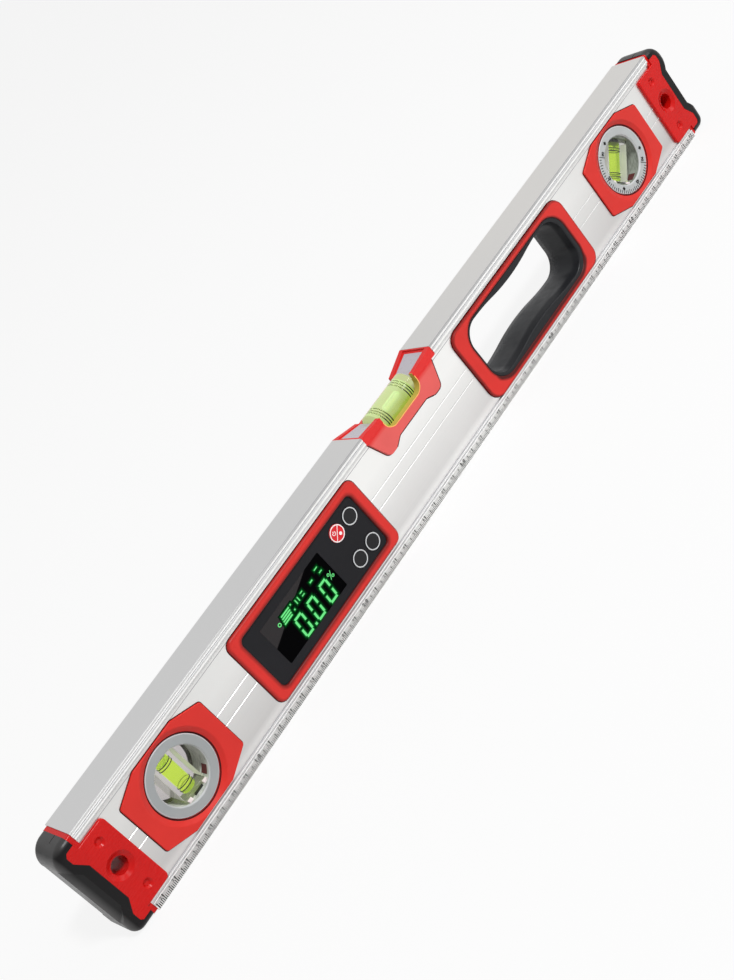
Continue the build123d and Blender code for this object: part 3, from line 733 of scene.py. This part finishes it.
def grip_rubber():
    """Black rubber, speckled and a little paler towards the rear rim where it is textured."""
    made, shader, where = moulded("grip_rubber", (26, 27, 30), (0.34, 0.48), 1500.0, 0.15, 0.1, 0.25)
    speckles = span(noise(where, 1300.0), 0.35, 0.6)
    band = times(span(axes(where)[1], 0.003, 0.010), speckles)
    paint_over(shader, times(band, 0.6), linear(95, 95, 97))
    return made


def bumper_rubber():
    """Black rubber, paler on its outer end and on top as painted light."""
    made, shader, where = moulded("bumper_rubber", (14, 13, 14), (0.28, 0.4), 1800.0, 0.12, 0.1, 0.2)
    x, _, z = axes(where)
    # Painted light: paler on the outer end and on top
    end = span(sums("ABSOLUTE", x), 0.2965, 0.2995)
    painted_light = sums("MAXIMUM", end, span(z, 0.0600, 0.0625, 0.0, 0.45))
    paint_over(shader, painted_light, linear(86, 85, 85))
    return made


def lit(name, screen):
    """Lit surface with a faint unevenness."""
    made, shader, where = finish(name)
    colour = linear(*screen)
    uneven = blend(noise(where, 700.0), shaded(colour, 0.85), colour)
    wire(shader, Emission_Color=uneven, Base_Color=BLACK, Emission_Strength=1.0, Specular_IOR_Level=0.0)
    return made


ALUMINIUM = aluminium()
FRAME_RED = plastic("frame_red", (202, 43, 36), relief=ring_dish)
BEZEL_RED = plastic("bezel_red", (204, 44, 38), shade=bezel_painted_shade)
HANDLE_RED = plastic("handle_red", (203, 44, 38), shade=handle_painted_shade)
CAP_RED = plastic("cap_red", (192, 15, 12), (0.26, 0.3), rise=0.03, specular=0.2, relief=cap_hollows)
HOLDER_RED = holder_plastic()
BUMPER_RUBBER = bumper_rubber()
GRIP_RUBBER = grip_rubber()
# Hub insides: the plumb ring's is paler as painted light, the dial's is darker as painted shade
RING_GREY = ring_plastic("ring_grey", (150, 154, 155), (204, 208, 200), PLUMB)
DIAL_GREY = ring_plastic("dial_grey", (172, 176, 176), (150, 156, 146), DIAL)
PALE_PLATE = plastic("pale_plate", (180, 176, 183), (0.25, 0.35))
PANEL_BLACK = plastic("panel_black", (30, 30, 33), (0.35, 0.45), 3200.0, 0.05, 0.06, 0.12)
BUTTON_BLACK = plastic("button_black", (30, 30, 32), (0.3, 0.4), 3200.0, 0.04, 0.06, 0.2)
BUTTON_RED = plastic("button_red", (205, 32, 40), (0.3, 0.4))
COVER_BLACK = plastic("cover_black", (34, 34, 36), (0.45, 0.6), 1400.0, 0.15, 0.08, 0.3)
PLUG_BLACK = plastic("plug_black", (38, 40, 36))
# End plug of the top vial: a painted glow, brown towards its lower front as painted shadow
PLUG_OLIVE = dyed_liquid("plug_olive", (0.02, 0.02, 0.01, 1.0), linear(112, 88, 54),
                         linear(210, 218, 164), 0.8, -0.004, -0.001)
MARK_OLIVE = vial_lines()
# Frosted flanks, lightened by a painted glow
FROST = plastic("frosted_side", (222, 224, 217), (0.5, 0.6), Emission_Color=linear(222, 222, 215),
                Emission_Strength=0.4)
NOTCH_RED = plastic("notch_red", (92, 44, 44))
RIM_GLOW = plastic("rim_glow", (240, 178, 96), (0.4, 0.5))
BOARD_GREEN = plastic("board_green", (30, 90, 50), (0.3, 0.45))
CHIP_BLACK = plastic("chip_black", (28, 28, 30))
CELL_WRAP = plastic("cell_wrap", (60, 62, 66), (0.2, 0.3))
SCALE_INK = plastic("scale_ink", (12, 12, 12), (0.6, 0.7), specular=0.02)
DIGIT_INK = plastic("digit_ink", (74, 74, 74), (0.6, 0.7), specular=0.02)
MARK_BLACK = plastic("mark_black", (26, 26, 26), (0.5, 0.6), specular=0.1)
# Colour of the painted shadow lines
SHADOW_LINE_DARK = plastic("shadow_line_dark", (58, 22, 22), (0.6, 0.7), specular=0.05)
MARK_GREY = plastic("mark_grey", (196, 198, 200), (0.35, 0.45))
MARK_WHITE = plastic("mark_white", (238, 226, 226), (0.35, 0.45))
STEEL = plastic("screw_steel", (150, 150, 150), (0.25, 0.35), Metallic=1.0)
ACRYLIC = clear("clear_acrylic", (0.72, 0.71, 0.69, 1.0), 1.49)
PLUMB_ACRYLIC = clear("plumb_acrylic", (0.56, 0.53, 0.53, 1.0), 1.49)
TOP_ACRYLIC = clear("top_acrylic", (0.93, 0.96, 0.85, 1.0), 1.49)
# The liquids and the top bubble glow by their shine as painted light; the top bubble is darker edge-on as
# painted shade
LIQUID = clear("vial_liquid", linear(198, 230, 70), 0.94, 0.1)
PLUMB_LIQUID = clear("plumb_liquid", linear(200, 230, 76), 0.94, 0.28)
TOP_LIQUID = dyed_liquid("top_vial_liquid", (0.10, 0.22, 0.06, 1.0), linear(160, 172, 62),
                         linear(222, 228, 178), 0.66, -0.004, 0.003)
BUBBLE = clear("vial_bubble", (0.98, 1.0, 0.95, 1.0), 0.74)
TOP_BUBBLE = clear("top_vial_bubble", (0.98, 1.0, 0.92, 1.0), 0.74, 0.24, (0.12, 0.26, 0.02, 1.0))
# Seal of the top vial, glowing as painted light
SEAL_PALE = lit("pale_seal", (196, 208, 146))
WINDOW = smoked_window()
LIT_GREEN = lit("lit_green", (118, 246, 144))
LIT_GLOW = lit("lit_glow", (9, 90, 32))
LIT_HAZE = lit("lit_haze", (3, 36, 13))

NODE_FINISH = {
    ALUMINIUM: ("beam",),
    CAP_RED: ("end_cap_left", "end_cap_right"),
    FRAME_RED: ("plumb_frame_front", "plumb_frame_rear", "angle_frame_front", "angle_frame_rear",
                "rear_cover"),
    BEZEL_RED: ("display_bezel",),
    HANDLE_RED: ("handle_frame_front", "handle_frame_rear"),
    HOLDER_RED: ("top_vial_holder",),
    BUMPER_RUBBER: ("end_bumper_left", "end_bumper_right"),
    GRIP_RUBBER: ("handle_grip",),
    RING_GREY: ("plumb_ring_front", "plumb_ring_rear"),
    DIAL_GREY: ("angle_dial_front", "angle_dial_rear"),
    PALE_PLATE: ("ramp_plate_left", "ramp_plate_right"),
    PANEL_BLACK: ("display_panel",),
    BUTTON_BLACK: ("mode_button", "zero_button", "hold_button"),
    BUTTON_RED: ("power_button",),
    COVER_BLACK: ("battery_door", "module_housing"),
    PLUG_BLACK: ("plumb_vial_plug", "angle_vial_plug"),
    PLUG_OLIVE: ("top_vial_plug",),
    BOARD_GREEN: ("main_board",),
    CHIP_BLACK: ("tact_switches", "tilt_sensor", "buzzer", "led_display"),
    CELL_WRAP: ("batteries",),
    STEEL: ("battery_contacts", "cover_screws"),
    WINDOW: ("display_window",),
    ACRYLIC: ("plumb_vial_block", "angle_vial_block", "top_vial_block"),
    LIQUID: ("plumb_vial_liquid", "angle_vial_liquid"),
    TOP_LIQUID: ("top_vial_liquid",),
}
for coat, names in NODE_FINISH.items():
    for name in names:
        for slot in NODES[name].material_slots:
            slot.material = coat


# Vials: clear body, liquid and bubble, each a closed skin inside the last


def capsule(half, r, ease, steps=5):
    """Half outline of a cylinder with eased rims, as radius and height from end to end."""
    a = np.linspace(0, pi / 2, steps)
    rim = np.stack([r - ease + ease * np.sin(a), -half + ease - ease * np.cos(a)], -1)
    return np.concatenate([rim, rim[::-1] * (1, -1)])


def rounded_block(size, ease, steps=6):
    """Rectangle of a width and depth with eased corners, carried half a height both ways along Z."""
    width, depth, half = size
    a = np.linspace(0, pi / 2, steps)
    quarter = np.stack([width / 2 - ease + ease * np.cos(a), depth / 2 - ease + ease * np.sin(a)], -1)
    outline = np.concatenate([quarter, (quarter * (-1, 1))[::-1], -quarter, (quarter * (1, -1))[::-1]])
    n = len(outline)
    layers = [np.column_stack([outline, np.full(n, z)]) for z in (-half, half)]
    sides = grid_faces(2, n, False, True)
    return np.concatenate(layers), [*sides, list(range(n))[::-1], list(range(n, 2 * n))]


def footed_block(size, ease, foot, back, layers=33, steps=6):
    """Block with eased front edges, an outline per layer along Z, its flat foot reaching to a circle."""
    width, depth, half = size
    z = np.linspace(-half, half, layers)
    a = np.linspace(-pi / 2, 0, steps)
    corner = np.stack([width / 2 - ease + ease * np.cos(a), -depth / 2 + ease + ease * np.sin(a)], -1)
    rear = np.array([(width / 2, depth / 2), (1, depth / 2), (1, back)])
    right = np.concatenate([corner, rear])
    outline = np.concatenate([right, (right * (-1, 1))[::-1]])
    on_foot = np.abs(outline[:, 0]) == 1
    foot_reach = np.sqrt(foot ** 2 - z ** 2)[:, None]
    x = np.where(on_foot[None], outline[None, :, 0] * foot_reach, outline[None, :, 0])
    n = len(outline)
    verts = np.stack([x, np.broadcast_to(outline[:, 1], x.shape), np.broadcast_to(z[:, None], x.shape)], -1)
    ends = list(range(n))[::-1], list(range((layers - 1) * n, layers * n))
    return verts.reshape(-1, 3), [*grid_faces(layers, n, False, True), *ends]


def round_vial(unit, body, centre, turn, notch_arc, coats, r):
    """Footed block, frosted flanks, tube, bubble near its top, ring lines, white painted highlights, a dark
    painted shade, notch in the hub.
    """
    place = in_unit(centre, turn)
    acrylic, liquid = coats
    block = footed_block(BLOCK, BLOCK_EASE, FOOT_R, FOOT_BACK)
    block = piece(f"{unit}_vial_body", block, acrylic, body, place=place)
    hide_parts(f"{unit}_vial_block")
    tube = turned_solid(capsule((TUBE_HIGH - TUBE_LOW) / 2, r, TUBE_EASE))
    tube = shifted(tube, (0, 0, (TUBE_HIGH + TUBE_LOW) / 2))
    tube = piece(f"{unit}_vial_fill", tube, liquid, body, True, place)
    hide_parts(f"{unit}_vial_liquid")
    bubble = shifted(turned_solid(capsule(BUBBLE_HALF, r - BUBBLE_GAP, BUBBLE_EASE, 8)), (0, 0, BUBBLE_UP))
    piece(f"{unit}_vial_bubble", bubble, BUBBLE, body, True, place)
    lines = gathered([hoop(r + LINE_GAP, LINE, LINE_HEIGHT, z) for z in LINE_UP])
    piece(f"{unit}_vial_lines", lines, MARK_BLACK, body, True, place)
    # White blocks as painted highlights on the hub's bottom
    glints = gathered([shifted(rounded_block(GLINT_BLOCK, GLINT_EASE), at) for at in GLINT_AT])
    piece(f"{unit}_vial_glints", glints, MARK_WHITE, body, place=place)
    flanks = gathered([shifted(rounded_block(FLANK, FLANK_EASE), (x, 0, 0)) for x in (-FLANK_X, FLANK_X)])
    piece(f"{unit}_vial_sides", flanks, FROST, body, place=place)
    notch = arc_band((0, 0), NOTCH_R, NOTCH, *notch_arc, NOTCH_FRONT, NOTCH_DEPTH, 0.0, 12)
    piece(f"{unit}_hub_notch", notch, NOTCH_RED, body, place=in_unit(centre))
    # Dark block as painted shade in the gap between the highlights
    slot = shifted(rounded_block(GAP_SHADE, GAP_SHADE_EASE), GAP_SHADE_AT)
    piece(f"{unit}_vial_gap_shade", slot, PLUG_BLACK, body, place=place)


def top_vial():
    """Clear cylinder on its side, tube of liquid, pale seal at one end, long bubble, two sets of lines."""
    place = Matrix.Translation(Vector(TOP_VIAL)) @ Matrix.Rotation(pi / 2, 4, "Y")
    barrel = turned_solid(capsule(*TOP_BARREL))
    barrel = piece("top_vial_body", barrel, TOP_ACRYLIC, smooth=True, place=place)
    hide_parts("top_vial_block")
    tube = shifted(turned_solid(capsule(*TOP_TUBE)), (0, 0, TOP_TUBE_SHIFT))
    tube = piece("top_vial_fill", tube, TOP_LIQUID, smooth=True, place=place)
    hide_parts("top_vial_liquid")
    seal = shifted(turned_solid(capsule(*TOP_SEAL)), (0, 0, TOP_SEAL_SHIFT))
    piece("top_vial_seal", seal, SEAL_PALE, smooth=True, place=place)
    bubble = turned_solid(capsule(*TOP_BUBBLE_SIZE, 8))
    lifted = Matrix.Translation(TOP_BUBBLE_LIFT) @ place
    piece("top_vial_bubble", bubble, TOP_BUBBLE, smooth=True, place=lifted)
    lines = gathered([hoop(TOP_TUBE[1] + LINE_GAP, TOP_LINE, LINE_HEIGHT, way * z)
                      for way in (-1, 1) for z in TOP_LINE_UP])
    piece("top_vial_lines", lines, MARK_OLIVE, smooth=True, place=place)


def sill_glow():
    """Line of dyed light along the lower edge of the holder's window, up to its shoulders."""
    x, low, half = TOP_VIAL[0] + SILL_SHIFT, SILL_LOW, SILL_HALF[0]
    steps = 9
    outline = rectangle((x - half, 0, low), (x + half, 0, SILL_AT[1]), SILL_EASE, steps)
    left_end, right_end = (x - half, low + SILL_UP[0]), (x + half, low + SILL_UP[1])
    path = np.concatenate([[left_end], outline[:2 * steps], [right_end]])
    off = path[:, :1] - x
    out = np.where(np.abs(off) > half - SILL_SHOULDER, np.sign(off), 0) * (SILL_OUT, 0)
    line = path_band(path + out - (0, SILL_OUT), SILL_LINE, HOLDER_FACE)
    piece("window_sill_line", line, RIM_GLOW)


sill_glow()
round_vial("plumb", "level", PLUMB, 0.0, PLUMB_NOTCH, (PLUMB_ACRYLIC, PLUMB_LIQUID), PLUMB_TUBE_R)
round_vial("angle", "angle_dial", DIAL, VIAL_TURN, DIAL_NOTCH, (ACRYLIC, LIQUID), ANGLE_TUBE_R)
top_vial()


# Painted shadow lines where the plastic pieces meet the web and their rings


def painted_shadow_lines():
    """Hair lines of shadow round each plate on the web, along the holder's edge and round each grey ring."""
    bands = []
    for name, r in (("handle_frame_front", HANDLE_EASE), ("display_bezel", BEZEL_EASE)):
        bands.append(outline_band(rectangle(*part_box(name), r), SHADOW_WIDTH, WEB_FACE))
    for name in ("plumb_frame_front", "angle_frame_front"):
        low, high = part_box(name)
        (x, _, z), a, b = middle(name), (high[0] - low[0]) / 2, (high[2] - low[2]) / 2
        quarter = np.array([(a, FRAME_SIDE), (FRAME_FLAT, b)])
        upper = np.concatenate([quarter, quarter[::-1] * (-1, 1)])
        bands.append(outline_band(eased(np.concatenate([upper, -upper]) + (x, z), FRAME_EASE), SHADOW_WIDTH, WEB_FACE))
    plate = np.array(HOLDER_PLATE)
    plate = np.concatenate([plate * (-1, 1), plate[::-1]]) + (HOLDER_X, 0.0)
    plate = eased(plate, [HOLDER_CORNER] + [HOLDER_EASE] * 6 + [HOLDER_CORNER])
    below_top, past_left_end = slice(5, -5), slice(15, -5)  # six points to each corner
    bands.append(path_band(plate[below_top], 2 * SHADOW_WIDTH, WEB_FACE))
    # Painted shadow line along the holder plate's edge
    edge = path_band(moved_out(plate, -HOLDER_INSET)[past_left_end], SHADOW_WIDTH, HOLDER_FACE, HOLDER_INSET)
    piece("holder_edge_shadow", edge, SHADOW_LINE_DARK)
    piece("web_shadow_lines", gathered(bands), SHADOW_LINE_DARK)
    rings = [arc_band((x, z), RING_SHADOW_R, RING_SHADOW_WIDTH, 0, 2 * pi, DIAL_FACE, steps=96, slope=RING_SHADOW_SLOPE)
             for x, _, z in (PLUMB, DIAL)]
    piece("ring_shadow_lines", gathered(rings), SHADOW_LINE_DARK)


painted_shadow_lines()


# Printed scale on the lower rail


def rail_scale():
    """Millimetre strokes, longer at fives and tens, a digit by each ten, a bold number at each hundred."""
    mm = np.arange(SCALE_FIRST, SCALE_LAST + 1)
    marks = [mm % 100 == 0, mm % 10 == 0, mm % 5 == 0]
    tall = np.select(marks, [HUNDRED_STROKE, TEN_STROKE, FIVE_STROKE], STROKE)
    centre = np.stack([SCALE_ZERO + mm / 1000, SCALE_FOOT + tall / 2], -1)
    half = np.stack([np.where(mm % 5 == 0, LONG_STROKE_HALF, STROKE_HALF), tall / 2], -1)
    piece("rail_scale_strokes", bars(centre, half, 0.0, RAIL_FACE), SCALE_INK)
    tens = mm[(mm % 10 == 0) & (mm % 100 > 0)]
    places = [(SCALE_ZERO + m / 1000 + DIGIT_SHIFT, DIGIT_UP) for m in tens]
    digits = lettering([str(m // 10 % 10) for m in tens], places, DIGIT, RAIL_FACE, bold=DIGIT_BOLD)
    piece("rail_scale_digits", digits, DIGIT_INK)
    figures, places = [], []
    for m in mm[mm % 100 == 0]:
        figures += [str(m // 100), "0"]
        places += [(SCALE_ZERO + m / 1000 + side, NUMBER_UP) for side in (-NUMBER_SHIFT, NUMBER_SHIFT)]
    numbers = lettering(figures, places, NUMBER, RAIL_FACE, bold=NUMBER_BOLD)
    piece("rail_scale_numbers", numbers, SCALE_INK)


rail_scale()


# Dial scale, riding on the dial


def round_the_dial(r, degrees):
    """Places at a radius and angles about the dial's centre."""
    a = np.radians(degrees)
    return np.stack([DIAL[0] + r * np.cos(a), DIAL[2] + r * np.sin(a)], -1)


def dial_scale():
    """Rim strokes every five degrees beside a diamond, a long one at each end, numbers, two more diamonds."""
    steps = np.arange(-85, 86, 5)
    tall = np.where(steps % 15 == 0, DIAL_LONG_STROKE, DIAL_STROKE)
    ends = np.array([-90, 90])
    corners = np.array([0, 120, 240])
    parts = []
    for r, half, angles, turn in (
            (DIAL_RIM - tall / 2, np.stack([tall / 2, np.full(len(tall), DIAL_STROKE_HALF)], -1), steps, 0),
            (DIAL_END_R, np.tile(DIAL_END_HALF, (2, 1)), ends, 0),
            (DIAL_DIAMOND_R, np.full((3, 2), DIAL_DIAMOND_HALF), corners, 45)):
        angles = DIAL_FIRST + angles
        parts.append(bars(round_the_dial(r, angles), half, np.radians(angles + turn), DIAL_FACE, DIAL_SINK))
    angles = DIAL_FIRST + np.array([-97, -45, 45, 97])
    places, turns = round_the_dial(DIAL_NUMBER_R, angles), np.radians(angles - 90)
    parts.append(lettering(("90", "45", "45", "90"), places, DIAL_NUMBER, DIAL_FACE, turns, DIAL_SINK,
                           bold=DIAL_NUMBER_BOLD))
    piece("dial_scale", gathered(parts), MARK_BLACK, "angle_dial")


dial_scale()


# Lit display and button marks


def on_window(at):
    """Place on the display's window, counted across from the scale's zero."""
    return SCALE_ZERO + at[0], at[1]


def display_digits():
    """Three zeros of leaning strokes, a point, small signs, a percent sign, over a glow and a wider haze."""
    upright_half, flat_half = (ZERO_STROKE_HALF, ZERO_TALL * ZERO_UPRIGHT), (ZERO_WIDE / 2, ZERO_STROKE_HALF)
    centre, half, turn = [], [], []
    for start in ZERO_LEFT:
        for across, up, upright in ZERO_STROKES:
            rise = up * ZERO_TALL
            centre.append((start + across * ZERO_WIDE + ZERO_LEAN * rise, ZERO_LOW + rise))
            half.append(upright_half if upright else flat_half)
            turn.append(-np.arctan(ZERO_LEAN) if upright else 0.0)
    stack = [(STACK_AT[0] + STACK_STEP[0] * k, STACK_AT[1] + STACK_STEP[1] * k) for k in range(4)]
    flat = [(*POINT_AT, POINT_HALF, POINT_HALF)] + [(*at, *STACK_HALF) for at in stack] + list(SIGNS)
    centre = np.array([on_window(at) for at in centre + [sign[:2] for sign in flat]])
    half = np.array(half + [sign[2:] for sign in flat])
    turn = np.array(turn + [0.0] * len(flat))
    dot = arc_band(on_window(DOT_AT), DOT_R, DOT, 0, 2 * pi, WINDOW_FACE)
    percent = lettering(["%"], [on_window(PERCENT_AT)], PERCENT, WINDOW_FACE)
    digits = gathered([bars(centre, half, turn, WINDOW_FACE, 0.0, 2 * PRINT), dot, percent])
    piece("lit_digits", digits, LIT_GREEN)
    piece("lit_digits_glow", bars(centre, half + GLOW, turn, WINDOW_FACE), LIT_GLOW)
    haze = bars(centre, half + HAZE, turn, WINDOW_FACE, 0.0, PRINT / 2)
    piece("lit_digits_haze", haze, LIT_HAZE)


def button_marks():
    """Pale ring on each button; the red one is split by a slant line between a power and a lamp sign."""
    for name in ("power_button", "mode_button", "zero_button", "hold_button"):
        x, _, z = middle(name)
        ring = arc_band((x, z), BUTTON_RING_R, BUTTON_RING, 0, 2 * pi, front(name), steps=64)
        piece(f"{name}_ring", ring, MARK_WHITE if name == "power_button" else MARK_GREY, name)
    at, face = middle("power_button")[[0, 2]], front("power_button")
    split = bars([at], [SPLIT_HALF], SPLIT_TURN, face)
    arc = arc_band(at + POWER_AT, POWER_R, POWER_LINE, *POWER_ARC, face)
    stem = bars([at + STEM_AT], [STEM_HALF], 0.0, face)
    lamp = arc_band(at + LAMP_AT, LAMP_R, LAMP, 0, 2 * pi, face)
    signs = gathered([split, arc, stem, lamp])
    piece("power_button_signs", signs, MARK_WHITE, "power_button")


display_digits()
button_marks()


# Floor, light and camera
FLOOR_HALF = 12.0
CAMERA_AT = (-0.37258, -0.64935, 0.38445)
CAMERA_TURN = (57.1217, 37.0074, -47.9048)
CAMERA_LENS = 55.234


def pale_floor():
    """Wide floor whose material shows the camera, mirrors and glass a near-white, and keeps a soft shadow."""
    mesh = bpy.data.meshes.new("floor")
    r = FLOOR_HALF
    mesh.from_pydata([(-r, -r, 0), (r, -r, 0), (r, r, 0), (-r, r, 0)], [], [(0, 1, 2, 3)])
    made = bpy.data.materials.new("pale_floor")
    tree = cleared(made)
    matt = node(tree, "BsdfDiffuse", Color=(0.9, 0.9, 0.9, 1.0))
    glow = node(tree, "Emission", Color=(0.97, 0.97, 0.97, 1.0), Strength=1.0)
    rays = node(tree, "LightPath").outputs
    seen = sums("MAXIMUM", rays["Is Camera Ray"], rays["Is Transmission Ray"])
    share = sums("MAXIMUM", times(seen, 0.9), times(rays["Is Glossy Ray"], 0.6))
    mixed = node(tree, "MixShader", Fac=share)
    feed(mixed.inputs[1], matt.outputs[0])
    feed(mixed.inputs[2], glow.outputs[0])
    node(tree, "OutputMaterial", Surface=mixed.outputs[0])
    mesh.materials.append(made)
    floor = linked("floor", mesh)


def soft_box(name, place, aim, size, power):
    """Round area lamp turned towards a point."""
    lamp = bpy.data.lights.new(name, "AREA")
    lamp.shape, lamp.size, lamp.energy = "DISK", size, power
    obj = linked(name, lamp)
    obj.location = place
    obj.rotation_euler = (Vector(aim) - Vector(place)).to_track_quat("-Z", "Y").to_euler()


def studio():
    """White world, brighter where it is seen or mirrored than where it lights, with a key and a fill lamp."""
    world = bpy.data.worlds.new("studio")
    tree = cleared(world)
    rays = node(tree, "LightPath").outputs
    seen = sums("MAXIMUM", rays["Is Glossy Ray"], rays["Is Transmission Ray"])
    seen = sums("MAXIMUM", rays["Is Camera Ray"], seen)
    strength = span(seen, 0.0, 1.0, 0.34, 0.76)
    sky = node(tree, "Background", Color=(1.0, 1.0, 1.0, 1.0), Strength=strength)
    node(tree, "OutputWorld", Surface=sky.outputs[0])
    SCENE.world = world
    soft_box("key", (0.15, -1.25, 2.0), (0, 0, 0.03), 0.35, 42.0)
    soft_box("fill", (1.3, -1.0, 0.9), (0.1, 0, 0.03), 0.8, 6.0)


def camera():
    """Camera at the photograph's viewing angle."""
    lens = bpy.data.cameras.new("camera")
    lens.lens, lens.sensor_width, lens.clip_start = CAMERA_LENS, 36.0, 0.01
    obj = linked("camera", lens)
    obj.location = CAMERA_AT
    obj.rotation_euler = Euler([radians(a) for a in CAMERA_TURN], "XYZ")
    SCENE.camera = obj


pale_floor()
studio()
camera()
SCENE.view_settings.view_transform = "Standard"
